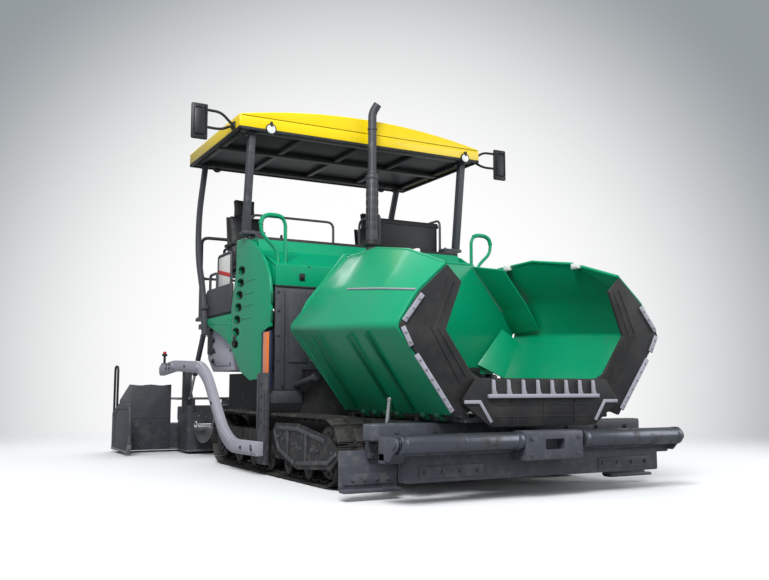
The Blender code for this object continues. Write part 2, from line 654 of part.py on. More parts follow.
def auger(side):
    """A screw flight on its shaft, of opposite hand on each side."""
    turns, start, length, hub = 4, 0.10, 1.08, 0.03
    mesh = bpy.data.meshes.new("flight")
    mesh.from_pydata([(0, hub, 0), (0, AUGER_R, 0)], [(0, 1)], [])
    flight = bpy.data.objects.new("flight", mesh)
    bpy.context.scene.collection.objects.link(flight)
    screw = flight.modifiers.new("turns", "SCREW")
    screw.axis, screw.angle, screw.iterations = "X", 2 * pi, turns
    screw.screw_offset = side * length / turns
    screw.steps = screw.render_steps = 14
    screw.merge_threshold = 1e-5
    wall = flight.modifiers.new("wall", "SOLIDIFY")
    wall.thickness, wall.offset = 0.016, 0
    flight.location = (side * start, AUGER_Y, AUGER_Z)
    shaft = rod((side * 0.062, AUGER_Y, AUGER_Z), (side * 1.23, AUGER_Y, AUGER_Z), 0.045, 14)
    return joined(shaft, as_mesh(flight))


def cylinder(figures, place):
    """A hydraulic cylinder as (barrel, rod). place gives the machine's point for (a, b) of its plane."""
    base, eye = Vector(figures["base"]), Vector(figures["eye"])
    barrel_length, radius = figures["barrel"], figures["radius"]
    length = (eye - base).length
    way = (eye - base) / length

    def at(along):
        return place(*(base + way * along))

    tube_part = rod(at(0.025), at(barrel_length), radius, 14)
    lug = rod(at(-0.02), at(0.05), radius * 0.55, 10)
    bore = rod(at(0.05), at(barrel_length + 0.1), radius * 0.68, 14)
    piston_rod = rod(at(barrel_length - 0.05), at(length - 0.02), radius * 0.5, 12)
    return cut(joined(tube_part, lug), bore), piston_rod


# ---------------------------------------------------------------- assembly

def build_middle():
    """The pieces on the middle of the machine."""
    keep(main_frame(), "main_frame", "grey")
    keep(conveyor_deck(), "conveyor_deck", "steel")
    keep(front_beam(), "front_beam", "grey")
    keep(bulkhead(), "bulkhead", "green")
    keep(front_wall(), "front_wall", "grey")
    keep(hood(), "hood", "green")
    keep(box((-0.50, 0.50), (-0.40, 0.36), (RAIL_TOP + JOINT_GAP, ENGINE_TOP), 0.02), "engine", "black")
    keep(rear_body(), "rear_body", "light_grey")
    keep(platform(), "platform", "grey")
    keep(console(), "console", "black")
    keep(roof(), "roof", "yellow")
    keep(roof_liner(), "roof_liner", "black")
    keep(exhaust(), "exhaust", "grey")
    keep(front_apron(), "front_apron", "rubber", (0, APRON_Y, APRON_PIVOT_Z))
    keep(push_bar(), "push_bar", "grey", (0, PUSH_BACK, 0.25))
    keep(screed(), "screed", "grey", (0, TOW_Y, TOW_Z))


def build_side(name, side):
    """The pieces that each side has its own of."""
    wing_hinge = (side * HINGE_X, -2.1, HINGE_Z)
    wing_base, lift_base = WING_CYL["base"], LIFT_CYL["base"]
    wing_pin = (side * wing_base[0], WING_CYL_Y, wing_base[1])
    lift_pin = (side * LIFT_CYL_X, *lift_base)
    wing_barrel, wing_rod = cylinder(WING_CYL, lambda x, z: (side * x, WING_CYL_Y, z))
    lift_barrel, lift_rod = cylinder(LIFT_CYL, lambda y, z: (side * LIFT_CYL_X, y, z))
    pieces = (                     # piece, its node's name on this side, finish, pivot
        (track(side), "track", "rubber", (0, 0, 0)),
        (track_frame(side), "track_frame", "grey", (0, 0, 0)),
        (wing(side), "wing", "green", wing_hinge),
        (wing_flap(side), "wing_flap", "rubber", wing_hinge),
        (wing_barrel, "wing_barrel", "grey", wing_pin),
        (wing_rod, "wing_rod", "steel", wing_pin),
        (service_door(side), "service_door", "green", (side * DOOR_HINGE[0], *DOOR_HINGE[1:])),
        (tail_panel(side), "tail_panel", "green", (0, 0, 0)),
        (front_post(side), "front_post", "grey", (0, 0, 0)),
        (rear_post(side), "rear_post", "grey", (0, 0, 0)),
        (seat(side), "seat", "black", (side * SEAT_X, SEAT_Y, DECK_Z)),
        (mirror(side), "mirror", "black", (0, 0, 0)),
        (rear_rail(side), "rear_rail", "grey", (0, 0, 0)),
        (tow_column(side), "tow_column", "light_grey", (0, 0, 0)),
        (push_roller(side), "push_roller", "steel", (side * 0.8, ROLLER_Y, ROLLER_Z)),
        (screed_arm(side), "screed_arm", "light_grey", (side * ARM_IN, TOW_Y, TOW_Z)),
        (lift_barrel, "lift_barrel", "grey", lift_pin),
        (lift_rod, "lift_rod", "steel", lift_pin),
        (extension(side), "extension", "grey", (side * EXT_OUT, SCREED_BACK, SCREED_Z)),
        (auger(side), "auger", "steel", (side * 0.6, AUGER_Y, AUGER_Z)),
    )
    for piece, node, finish, pivot in pieces:
        keep(piece, f"{name}_{node}", finish, pivot)


clear_scene()
PAVER = bpy.data.collections.new("asphalt_paver")
bpy.context.scene.collection.children.link(PAVER)
build_middle()
for side_name, side_sign in SIDES:
    build_side(side_name, side_sign)
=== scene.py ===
"""Looks of a tracked asphalt paver: finishes for its frame, and the detailed pieces that ride on it."""
import bpy
from math import atan2, cos, hypot, pi, radians, sin
from mathutils import Euler, Matrix, Vector


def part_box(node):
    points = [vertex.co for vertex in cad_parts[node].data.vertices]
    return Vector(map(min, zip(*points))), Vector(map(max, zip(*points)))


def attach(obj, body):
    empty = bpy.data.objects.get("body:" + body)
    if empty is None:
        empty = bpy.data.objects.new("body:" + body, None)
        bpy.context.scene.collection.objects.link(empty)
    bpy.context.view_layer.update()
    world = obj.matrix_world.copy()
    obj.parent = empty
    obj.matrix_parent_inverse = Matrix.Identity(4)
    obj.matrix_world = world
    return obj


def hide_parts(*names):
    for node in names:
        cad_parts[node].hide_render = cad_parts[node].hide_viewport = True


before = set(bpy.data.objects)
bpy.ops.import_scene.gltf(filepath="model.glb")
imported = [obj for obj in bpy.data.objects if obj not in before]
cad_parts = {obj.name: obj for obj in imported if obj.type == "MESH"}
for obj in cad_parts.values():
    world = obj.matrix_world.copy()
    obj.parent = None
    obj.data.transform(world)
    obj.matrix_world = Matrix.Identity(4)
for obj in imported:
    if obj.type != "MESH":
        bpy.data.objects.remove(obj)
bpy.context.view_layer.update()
SIDES = (("right", -1), ("left", 1))

# Camera: place in metres, turn from +Y towards +X and upward tilt in degrees, lens for a 36 mm sensor
CAMERA_PLACE = (-4.2646, -8.4712, 0.8208)
CAMERA_TURN, CAMERA_TILT = 28.447, 6.4
LENS = 40.68


# ---------------------------------------------------------------- shader expressions

class Number:
    """A value that varies over a surface: a node's output, with Python's operators."""

    def __init__(self, finish, socket):
        self.finish, self.socket = finish, socket

    def _maths(self, operation, first, second):
        return self.finish.node("Math", {0: first, 1: second}, operation=operation)

    def __add__(self, other):
        return self._maths("ADD", self, other)

    def __radd__(self, other):
        return self._maths("ADD", other, self)

    def __sub__(self, other):
        return self._maths("SUBTRACT", self, other)

    def __rsub__(self, other):
        return self._maths("SUBTRACT", other, self)

    def __mul__(self, other):
        return self._maths("MULTIPLY", self, other)

    def __rmul__(self, other):
        return self._maths("MULTIPLY", other, self)

    def __gt__(self, other):
        return self._maths("GREATER_THAN", self, other)

    def clamped(self):
        return self.finish.node("Clamp", {"Value": self}, out="Result")

    def smooth(self, low, high):
        """0 below low, 1 above high, smooth between."""
        return self.finish.node(
            "MapRange", {"Value": self, "From Min": low, "From Max": high}, interpolation_type="SMOOTHSTEP")


class Finish:
    """A material being made. Its constant values sit on the shader's own sockets."""

    def __init__(self, name, **constants):
        self.material = bpy.data.materials.new(name)
        self.material.use_nodes = True
        self.tree = self.material.node_tree
        self.shader = self.tree.nodes["Principled BSDF"]
        for socket, value in constants.items():
            self.shader.inputs[socket.replace("_", " ")].default_value = value

    def node(self, kind, inputs=(), out=0, stops=None, **settings):
        """Any node: its settings and a ramp's stops first, then the values or links of its sockets."""
        made = self.tree.nodes.new("ShaderNode" + kind)
        for setting, value in settings.items():
            setattr(made, setting, value)
        if stops:
            while len(made.color_ramp.elements) < len(stops):
                made.color_ramp.elements.new(0.5)
            for element, (place, colour) in zip(made.color_ramp.elements, stops):
                element.position, element.color = place, (*colour, 1)
        for key, value in dict(inputs).items():
            if isinstance(value, Number):
                self.tree.links.new(value.socket, made.inputs[key])
            else:
                made.inputs[key].default_value = value
        return Number(self, made.outputs[out])

    def place(self):
        """The point in the machine's own frame, in metres."""
        return self.node("TexCoord", out="Object")

    def axis(self, name):
        return self.node("SeparateXYZ", {0: self.place()}, out=name)

    def noise(self, scale, detail=3, roughness=0.5, stretch=None):
        """Noise from 0 to 1, which stretch may draw out along an axis."""
        where = self.place()
        if stretch:
            where = self.node("Mapping", {"Vector": where, "Scale": stretch})
        return self.node("TexNoise", {"Vector": where, "Scale": scale, "Detail": detail, "Roughness": roughness})

    def blend(self, factor, first, second):
        """The first colour where factor is 0, the second where it is 1."""
        mix = self.tree.nodes.new("ShaderNodeMix")
        mix.data_type = "RGBA"
        for key, value in ((0, factor), (6, first), (7, second)):
            if isinstance(value, Number):
                self.tree.links.new(value.socket, mix.inputs[key])
            else:
                mix.inputs[key].default_value = value if key == 0 else (*value, 1)
        return Number(self, mix.outputs[2])

    def bump(self, height, strength, distance=0.001):
        return self.node("Bump", {"Height": height, "Strength": strength, "Distance": distance})

    def into(self, **links):
        """Links values to the shader and gives the finished material."""
        for socket, value in links.items():
            self.tree.links.new(value.socket, self.shader.inputs[socket.replace("_", " ")])
        return self.material


def shade(colour, factor):
    return tuple(min(1, part * factor) for part in colour)


# ---------------------------------------------------------------- finishes

def paint(name, colour, roughness=0.36, coat=0.22, dust=0.06, metallic=0.0):
    """Sprayed paint: faint orange peel, uneven gloss, dust that gathers low down and small worn flecks."""
    f = Finish(name, Coat_Weight=coat, Coat_Roughness=0.12, Metallic=metallic, Specular_IOR_Level=0.35)
    broad, fine = f.noise(1.7, 4), f.noise(46, 2)
    low = 1 - f.axis("Z").smooth(0.1, 1.5)
    dirt = (low * 0.8 + 0.2) * f.noise(6, 6, 0.65).smooth(0.42, 0.72) * dust
    fleck = f.noise(85, 4, 0.7) * f.noise(7, 2) > 0.395
    body = f.blend(broad, shade(colour, 0.9), shade(colour, 1.1))
    dusty = f.blend(dirt.clamped(), body, DUST)
    worn = f.blend(fleck * 0.5, dusty, (0.10, 0.10, 0.10))
    gloss = roughness - 0.06 + broad * 0.1 + dirt * 0.5
    return f.into(Base_Color=worn, Roughness=gloss, Normal=f.bump(fine, 0.06, 0.0005))


def steel_paint(name, colour, roughness=0.5, wear=0.5):
    """Chassis paint over steel plate: mottled, dusty, rubbed bare in places."""
    f = Finish(name, Coat_Weight=0.08, Coat_Roughness=0.3)
    broad, mid, fine = f.noise(2.3, 5), f.noise(14, 6, 0.6), f.noise(120, 3)
    rubbed = (mid * f.noise(3.1, 3)).smooth(0.34, 0.50) * wear
    low = 1 - f.axis("Z").smooth(0.0, 0.9)
    dirt = mid.smooth(0.45, 0.75) * (low * 0.22 + 0.06)
    body = f.blend(broad, shade(colour, 0.88), shade(colour, 1.12))
    bare = f.blend(rubbed, body, (0.22, 0.22, 0.23))
    return f.into(
        Base_Color=f.blend(dirt, bare, DUST), Metallic=rubbed * 0.7,
        Roughness=roughness - 0.08 + mid * 0.2 - rubbed * 0.12, Normal=f.bump(fine + mid, 0.18))


def bare_steel(name, colour=(0.42, 0.42, 0.43), roughness=0.34, grain=(1, 60, 60)):
    """Steel polished by use, with the grain of its wear along one axis."""
    f = Finish(name, Metallic=0.9)
    streak, spots = f.noise(6, 4, 0.6, grain), f.noise(9, 6, 0.65)
    stain = spots.smooth(0.5, 0.72) * 0.7
    body = f.blend(streak, shade(colour, 0.75), shade(colour, 1.2))
    return f.into(
        Base_Color=f.blend(stain, body, (0.10, 0.085, 0.07)), Roughness=roughness - 0.08 + streak * 0.2 + stain * 0.3,
        Normal=f.bump(streak, 0.12))


def rubber(name, colour=(0.018, 0.017, 0.016), roughness=0.78, dust=0.3):
    """Black rubber, greyed by dust, with a fine moulded grain."""
    f = Finish(name)
    broad, grain = f.noise(3.5, 6, 0.65), f.noise(150, 3)
    dirt = broad.smooth(0.42, 0.75) * dust
    body = f.blend(broad, shade(colour, 0.7), shade(colour, 1.6))
    return f.into(
        Base_Color=f.blend(dirt, body, DUST), Roughness=roughness - 0.08 + broad * 0.18,
        Normal=f.bump(grain + broad, 0.3))


def moulded(name, colour, roughness=0.45, grain=0.25):
    """Moulded plastic or vinyl with a leather-like grain."""
    f = Finish(name)
    cells = f.node("TexVoronoi", {"Vector": f.place(), "Scale": 240.0}, feature="DISTANCE_TO_EDGE")
    broad = f.noise(4, 4)
    return f.into(
        Base_Color=f.blend(broad, shade(colour, 0.8), shade(colour, 1.35)),
        Roughness=roughness - 0.05 + broad * 0.12, Normal=f.bump(cells, grain, 0.0008))


def lens(name, colour, stripes=0.0):
    """A moulded lens with fine ribs under a clear coat."""
    f = Finish(name, Roughness=0.12, Coat_Weight=1.0, Coat_Roughness=0.03)
    ribs = f.node("TexWave", {"Vector": f.place(), "Scale": 40.0 + stripes}, out=1, bands_direction="Z")
    tone = f.noise(30, 2)
    return f.into(Base_Color=f.blend(tone, shade(colour, 0.85), shade(colour, 1.1)), Normal=f.bump(ribs, 0.35))


DUST = (0.30, 0.28, 0.25)
GREEN = (0.0, 0.31, 0.145)

FINISHES = {
    "green": paint("green_paint", GREEN),
    # A darker copy of the green paint, painted shade: it goes on the wing stiffeners, hinge straps and knuckles and on
    # the door hinges.
    "dark_green": paint("dark_green_paint", (0.0, 0.10, 0.045), 0.45, 0.2),
    "yellow": paint("yellow_gelcoat", (0.90, 0.66, 0.005), 0.3, 0.4, 0.06),
    "grey": steel_paint("chassis_grey", (0.052, 0.055, 0.066)),
    "blue_grey": steel_paint("bumper_grey", (0.066, 0.072, 0.092), 0.42, 0.5),
    "light_grey": steel_paint("arm_grey", (0.36, 0.36, 0.42), 0.45, 0.3),
    "dark": steel_paint("underside_dark", (0.018, 0.017, 0.018), 0.6, 0.3),
    "black": moulded("moulded_black", (0.016, 0.016, 0.018)),
    "rubber": rubber("flap_rubber", (0.012, 0.012, 0.013), 0.62, 0.08),
    "shoe": rubber("track_shoe", (0.016, 0.015, 0.014), 0.62, 0.2),
    "steel": bare_steel("worn_steel"),
    "roller": bare_steel("roller_steel", (0.16, 0.17, 0.20), 0.32),
    "orange": lens("orange_reflector", (0.95, 0.20, 0.01)),
    "lamp": lens("lamp_glass", (0.85, 0.87, 0.9), 20),
    "white": moulded("white_plastic", (0.72, 0.72, 0.70), 0.4, 0.1),
    "navy": moulded("marker_navy", (0.015, 0.02, 0.05), 0.45, 0.1),
    "chrome": bare_steel("chromed_rod", (0.70, 0.70, 0.71), 0.14, (1, 1, 1)),
    "red": moulded("red_stripe", (0.55, 0.02, 0.015), 0.4, 0.05),
    "vinyl": moulded("seat_vinyl", (0.02, 0.02, 0.022), 0.5, 0.6),
    "screen": moulded("dark_screen", (0.01, 0.02, 0.03), 0.12, 0.0),
    "mirror": bare_steel("mirror_glass", (0.75, 0.77, 0.80), 0.08, (1, 1, 1)),
}

# Which finish each kind of frame node takes
NODE_FINISH = {
    "main_frame": "dark", "conveyor_deck": "steel", "front_beam": "blue_grey", "bulkhead": "green",
    "front_wall": "grey", "hood": "green", "engine": "black", "rear_body": "light_grey", "platform": "grey",
    "console": "black", "roof": "yellow", "roof_liner": "dark", "exhaust": "grey", "front_apron": "rubber",
    "push_bar": "blue_grey", "screed": "grey", "track": "shoe", "track_frame": "dark", "wing": "green",
    "wing_flap": "rubber", "wing_barrel": "grey", "wing_rod": "steel", "service_door": "green",
    "tail_panel": "green", "front_post": "grey", "rear_post": "grey", "seat": "black", "mirror": "black",
    "rear_rail": "grey", "tow_column": "grey", "push_roller": "roller", "screed_arm": "light_grey",
    "lift_barrel": "grey", "lift_rod": "steel", "extension": "grey", "auger": "steel",
}


def node_kind(node):
    """A node's name without its side."""
    for side, _ in SIDES:
        if node.startswith(side + "_"):
            return node[len(side) + 1:]
    return node


def finish_frame():
    for node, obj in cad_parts.items():
        obj.data.materials.clear()
        obj.data.materials.append(FINISHES[NODE_FINISH[node_kind(node)]])


# ---------------------------------------------------------------- modelling tools

def deselect():
    if bpy.context.object and bpy.context.object.mode != "OBJECT":
        bpy.ops.object.mode_set(mode="OBJECT")
    bpy.ops.object.select_all(action="DESELECT")


def chosen(obj):
    """Makes the object the only one selected, and the active one."""
    deselect()
    obj.select_set(True)
    bpy.context.view_layer.objects.active = obj
    return obj


def active():
    return bpy.context.object


def editing(obj, mode="FACE"):
    """Opens the object in edit mode with all of its mesh selected."""
    chosen(obj)
    bpy.ops.object.mode_set(mode="EDIT")
    bpy.ops.mesh.select_mode(type=mode)
    bpy.ops.mesh.select_all(action="SELECT")


def done():
    bpy.ops.object.mode_set(mode="OBJECT")
    return active()


def settle(obj):
    """Applies an object's place, turn and scale to its mesh."""
    chosen(obj)
    bpy.ops.object.transform_apply(location=True, rotation=True, scale=True)
    return obj


def modified(obj, kind, **settings):
    """The object with one modifier applied."""
    chosen(obj)
    made = obj.modifiers.new("work", kind)
    for setting, value in settings.items():
        setattr(made, setting, value)
    bpy.ops.object.modifier_apply(modifier=made.name)
    return obj


def eased(obj, width, angle=35, segments=2):
    """The object with its sharp edges bevelled."""
    return modified(obj, "BEVEL", width=width, segments=segments, limit_method="ANGLE", angle_limit=radians(angle))


def block(x, y, z, bevel=0.006):
    """A box from (low, high) pairs along X, Y and Z, its edges bevelled."""
    deselect()
    middle = [(low + high) / 2 for low, high in (x, y, z)]
    bpy.ops.mesh.primitive_cube_add(size=1, location=middle)
    obj = active()
    obj.scale = [abs(high - low) for low, high in (x, y, z)]
    settle(obj)
    if bevel:
        editing(obj, "EDGE")
        bpy.ops.mesh.bevel(offset=bevel, segments=2, affect="EDGES")
        done()
    return obj


def bar(start, end, radius, sides=20, bevel=0.0, tip=None):
    """A round bar between two points, or a cone with a tip's radius."""
    deselect()
    start, end = Vector(start), Vector(end)
    bpy.ops.mesh.primitive_cone_add(
        vertices=sides, radius1=radius, radius2=radius if tip is None else tip, depth=(end - start).length,
        location=(start + end) / 2, rotation=(end - start).to_track_quat("Z", "X").to_euler())
    obj = settle(active())
    return eased(obj, bevel) if bevel else obj


def turned(centre, way, steps, sides=28, bevel=0.003):
    """A turned piece: discs from (from, to, radius) steps along a direction from its centre."""
    centre, way = Vector(centre), Vector(way).normalized()
    return together(*[
        bar(centre + way * low, centre + way * high, radius, sides, bevel) for low, high, radius in steps])


def pipe(points, radius, sides=3, closed=False):
    """A bent tube through the points."""
    data = bpy.data.curves.new("pipe", "CURVE")
    data.dimensions, data.bevel_depth, data.bevel_resolution = "3D", radius, sides
    data.use_fill_caps = True
    spline = data.splines.new("POLY")
    spline.points.add(len(points) - 1)
    spline.use_cyclic_u = closed
    for point, place in zip(spline.points, points):
        point.co = (*place, 1)
    obj = bpy.data.objects.new("pipe", data)
    bpy.context.scene.collection.objects.link(obj)
    chosen(obj)
    bpy.ops.object.convert(target="MESH")
    obj = active()
    editing(obj)
    bpy.ops.mesh.remove_doubles(threshold=1e-5)
    bpy.ops.mesh.normals_make_consistent(inside=False)
    return done()


def rounded(points, radius, steps=4):
    """The path with each inner corner replaced by an arc-like bend."""
    path = [Vector(points[0])]
    for before, corner, after in zip(points, points[1:], points[2:]):
        before, corner, after = Vector(before), Vector(corner), Vector(after)
        back, on = (before - corner), (after - corner)
        reach = min(radius, back.length * 0.45, on.length * 0.45)
        first, last = corner + back.normalized() * reach, corner + on.normalized() * reach
        for k in range(steps + 1):
            share = k / steps
            path.append(first * (1 - share) ** 2 + corner * 2 * share * (1 - share) + last * share ** 2)
    return path + [Vector(points[-1])]


def outlined(points, axis, level):
    """A flat face with this outline across an axis: X (outline in Y, Z), Y (in X, Z) or Z (in X, Y)."""
    deselect()
    bpy.ops.mesh.primitive_circle_add(vertices=len(points), radius=1, fill_type="NGON")
    obj = active()
    for vertex, (a, b) in zip(obj.data.vertices, points):
        vertex.co = {"X": (level, a, b), "Y": (a, level, b), "Z": (a, b, level)}[axis]
    return obj


def slab(points, axis, low, high, bevel=0.004, segments=2):
    """A flat outline given thickness along an axis, its rims bevelled."""
    obj = outlined(points, axis, low)
    editing(obj)
    step = [high - low if axis == letter else 0 for letter in "XYZ"]
    bpy.ops.mesh.extrude_region_move(TRANSFORM_OT_translate={"value": step})
    bpy.ops.mesh.select_all(action="SELECT")
    bpy.ops.mesh.normals_make_consistent(inside=False)
    done()
    return eased(obj, bevel, 30, segments) if bevel else obj


def folded(rows, thickness, fold=0.02, rim=0.003, segments=3):
    """Sheet metal through rows of points, with rounded folds and rims."""
    deselect()
    columns = len(rows[0])
    bpy.ops.mesh.primitive_grid_add(x_subdivisions=columns - 1, y_subdivisions=len(rows) - 1, size=1)
    obj = active()
    for vertex, place in zip(obj.data.vertices, [point for row in rows for point in row]):
        vertex.co = place
    editing(obj)
    bpy.ops.mesh.normals_make_consistent(inside=False)
    done()
    if fold:
        modified(obj, "BEVEL", width=fold, segments=segments, limit_method="ANGLE", angle_limit=radians(5))
    modified(obj, "SOLIDIFY", thickness=thickness, offset=0, use_even_offset=True)
    return modified(obj, "BEVEL", width=rim, segments=2, limit_method="ANGLE", angle_limit=radians(50))


def together(*objects):
    """Several objects as one."""
    deselect()
    for obj in objects:
        obj.select_set(True)
    bpy.context.view_layer.objects.active = objects[0]
    if len(objects) > 1:
        bpy.ops.object.join()
    return active()


def repeated(obj, matrices):
    """The object copied to each matrix, as one object."""
    twins = []
    for matrix in matrices:
        twin = bpy.data.objects.new("twin", obj.data.copy())
        twin.data.transform(matrix)
        bpy.context.scene.collection.objects.link(twin)
        twins.append(twin)
    bpy.data.objects.remove(obj)
    return together(*twins)


def shifted(obj, *offsets):
    return repeated(obj, [Matrix.Translation(offset) for offset in offsets])


def facing(way, places):
    """Matrices that turn +Z to a direction, one at each place."""
    turn = Vector(way).to_track_quat("Z", "Y").to_matrix().to_4x4()
    return [Matrix.Translation(place) @ turn for place in places]


def bolts(way, places, size=0.011):
    """Hexagon bolts on washers, standing on the surface along a direction."""
    head = bar((0, 0, size * 0.3), (0, 0, size), size, 6, size * 0.12)
    washer = bar((0, 0, -size * 0.2), (0, 0, size * 0.35), size * 1.5, 12)
    return repeated(together(head, washer), facing(way, places))


def holed(obj, *cutters):
    """The object with each cutter's shape taken out of it."""
    for cutter in cutters:
        modified(obj, "BOOLEAN", operation="DIFFERENCE", object=cutter)
        bpy.data.objects.remove(cutter)
    return obj


def band(path, width):
    """The outline of a strip of this width along a 2D path, mitred at its bends."""
    left, right = [], []
    for i, here in enumerate(path):
        here = Vector(here)
        before, after = Vector(path[max(i - 1, 0)]), Vector(path[min(i + 1, len(path) - 1)])
        ways = [way.normalized() for way in (here - before, after - here) if way.length > 0]
        normal = Vector((-(ways[0].y + ways[-1].y), ways[0].x + ways[-1].x)).normalized()
        spread = width / 2 / max(0.3, normal.x * -ways[0].y + normal.y * ways[0].x)
        left.append(here + normal * spread)
        right.append(here - normal * spread)
    return left + right[::-1]


def mirrored(half):
    """A closed outline from the points of its +X half, bottom to top."""
    return list(half) + [(-a, b) for a, b in reversed(half)]


def span(side, low, high):
    """(low, high) along X on one side of the machine."""
    return tuple(sorted((side * low, side * high)))


def piece(obj, name, body, finish, replaces=(), smooth=35):
    """A finished piece: named, coated, riding on its body."""
    settle(obj)
    obj.name = name
    bpy.ops.object.shade_smooth_by_angle(angle=radians(smooth))
    obj.data.materials.clear()
    obj.data.materials.append(FINISHES[finish])
    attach(obj, body)
    if replaces:
        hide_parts(*replaces)
    return obj


# ---------------------------------------------------------------- tracks

TRACK_LOW, TRACK_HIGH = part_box("left_track")
SHOE_OUT = TRACK_HIGH.z / 2                    # shoe faces to the wheels' line
PIN_R = SHOE_OUT - 0.028                       # chain pins to the wheels' line
IDLER_Y, SPROCKET_Y = TRACK_LOW.y + SHOE_OUT, TRACK_HIGH.y - SHOE_OUT
WHEEL_Z = SHOE_OUT
TRACK_X = (TRACK_LOW.x + TRACK_HIGH.x) / 2
SHOES = 44
ROLLER_PLACES = (-1.50, -1.05, -0.60, -0.15, 0.30)


def chain_point(along):
    """A point of the chain's pin line, this far along it from under the idler."""
    straight, arc = SPROCKET_Y - IDLER_Y, pi * PIN_R
    along %= 2 * (straight + arc)
    if along < straight:
        return Vector((0, IDLER_Y + along, WHEEL_Z - PIN_R))
    along -= straight
    if along < arc:
        turn = along / PIN_R
        return Vector((0, SPROCKET_Y + PIN_R * sin(turn), WHEEL_Z - PIN_R * cos(turn)))
    along -= arc
    if along < straight:
        return Vector((0, SPROCKET_Y - along, WHEEL_Z + PIN_R))
    turn = (along - straight) / PIN_R
    return Vector((0, IDLER_Y - PIN_R * sin(turn), WHEEL_Z + PIN_R * cos(turn)))


def link_places(side):
    """A matrix for each link: +Y along the chain, +Z out of the loop."""
    pitch = 2 * (SPROCKET_Y - IDLER_Y + pi * PIN_R) / SHOES
    places = []
    for k in range(SHOES):
        start, end = chain_point(k * pitch), chain_point((k + 1) * pitch)
        way = (end - start).normalized()
        turn = Matrix.Rotation(atan2(way.z, way.y), 4, "X") @ Matrix.Rotation(pi, 4, "Y")
        middle = (start + end) / 2 + Vector((side * TRACK_X, 0, 0))
        places.append(Matrix.Translation(middle) @ turn)
    return places


def track(name, side):
    half = (TRACK_HIGH.x - TRACK_LOW.x) / 2
    top = SHOE_OUT - PIN_R
    plate = block((-half, half), (-0.074, 0.074), (0.008, 0.016), 0.002)
    pads = [block(span(k, 0.012, half - 0.002), (-0.062, 0.066), (0.014, top), 0.005) for k in (-1, 1)]
    lip = block((-half, half), (-0.078, -0.066), (0.004, 0.022), 0.003)
    shoe = together(plate, lip, *pads, bolts((0, 0, 1), [(0, y, 0.016) for y in (-0.04, 0.04)], 0.009))
    piece(repeated(shoe, link_places(side)), name + "_track_shoes", "machine", "shoe", [name + "_track"])
    bone = [(-0.092, -0.018), (-0.07, -0.024), (-0.03, -0.013), (0.03, -0.013), (0.07, -0.024), (0.092, -0.018),
            (0.098, 0.0), (0.085, 0.010), (-0.085, 0.010), (-0.098, 0.0)]
    plates = [slab(bone, "X", *span(k, 0.034, 0.052), 0.003) for k in (-1, 1)]
    pin = bar((-0.066, -0.081, 0), (0.066, -0.081, 0), 0.013, 12)
    piece(repeated(together(*plates, pin), link_places(side)), name + "_track_chain", "machine", "dark")


def running_gear(name, side):
    """Teeth, hubs, flanges and bolts of the wheels and rollers inside a track, and its cover's ribs."""
    out = Vector((side, 0, 0))
    parts = []
    tooth = slab([(-0.030, 0.20), (0.030, 0.20), (0.012, 0.262), (-0.012, 0.262)], "X", -0.026, 0.026, 0.004)
    hub = Matrix.Translation((side * TRACK_X, SPROCKET_Y, WHEEL_Z))
    parts.append(repeated(tooth, [hub @ Matrix.Rotation(2 * pi * k / 21, 4, "X") for k in range(21)]))
    for y, steps in ((SPROCKET_Y, ((0, 0.015, 0.20), (0.01, 0.034, 0.150), (0.03, 0.046, 0.10), (0.04, 0.052, 0.04))),
                     (IDLER_Y, ((0, 0.012, 0.205), (0.008, 0.03, 0.085), (0.02, 0.045, 0.05)))):
        centre = Vector((side * 1.222, y, WHEEL_Z))
        parts.append(turned(centre, out, steps, 32))
        ring = [centre + out * 0.014 + Vector((0, 0.172 * cos(a), 0.172 * sin(a)))
                for a in (2 * pi * k / 12 for k in range(12))]
        parts.append(bolts(out, ring, 0.010))
    for y in ROLLER_PLACES:
        centre = Vector((side * 1.215, y, 0.145))
        parts.append(turned(centre, out, ((0, 0.016, 0.098), (0.01, 0.026, 0.05), (0.02, 0.034, 0.022)), 24))
    piece(together(*parts), name + "_running_gear", "machine", "dark")
    cover_face = side * 1.305
    ribs = [
        slab(band(path, 0.035), "X", *span(side, 1.304, 1.316), 0.004)
        for path in (((-2.22, 0.30), (-2.06, 0.22), (-1.41, 0.17)), ((-1.36, 0.17), (-1.0, 0.27), (-0.90, 0.42)),
                     ((-2.0, 0.39), (-1.42, 0.465), (-0.97, 0.46)), ((-1.62, 0.20), (-1.62, 0.43)),
                     ((-1.22, 0.22), (-1.22, 0.46)))
    ]
    places = [(cover_face, y, z) for y, z in (
        (-2.14, 0.30), (-1.86, 0.30), (-1.74, 0.30), (-1.50, 0.30), (-1.34, 0.33), (-1.10, 0.36), (-0.98, 0.38))]
    piece(together(*ribs, bolts(out, places, 0.013)), name + "_track_cover_ribs", "machine", "grey")


# ---------------------------------------------------------------- hopper

# Sections of a wing: for each edge, (x, y, z) from the hinge to the top, as in the frame
WING_SECTIONS = (
    ((0.795, -3.10, 0.625), (1.265, -3.10, 1.26), (1.09, -3.10, 1.52), (0.845, -3.10, 1.735)),
    ((0.795, -2.55, 0.625), (1.265, -2.55, 1.29), (1.10, -2.55, 1.58), (0.835, -2.55, 1.91)),
    ((0.795, -2.00, 0.625), (1.265, -2.00, 1.315), (1.10, -2.00, 1.63), (0.83, -2.00, 2.00)),
    ((0.795, -1.36, 0.625), (1.265, -1.14, 1.36), (1.10, -1.44, 1.69), (0.83, -1.45, 1.99)),
)
GUSSET = (
    ((1.06, -1.185, 1.415), (0.75, -1.185, 1.05)),
    ((1.225, -1.25, 1.28), (0.985, -1.34, 0.90)),
)
HINGE_X, HINGE_Z = 0.76, 0.60


def sided(side, points):
    return [(side * x, y, z) for x, y, z in points]


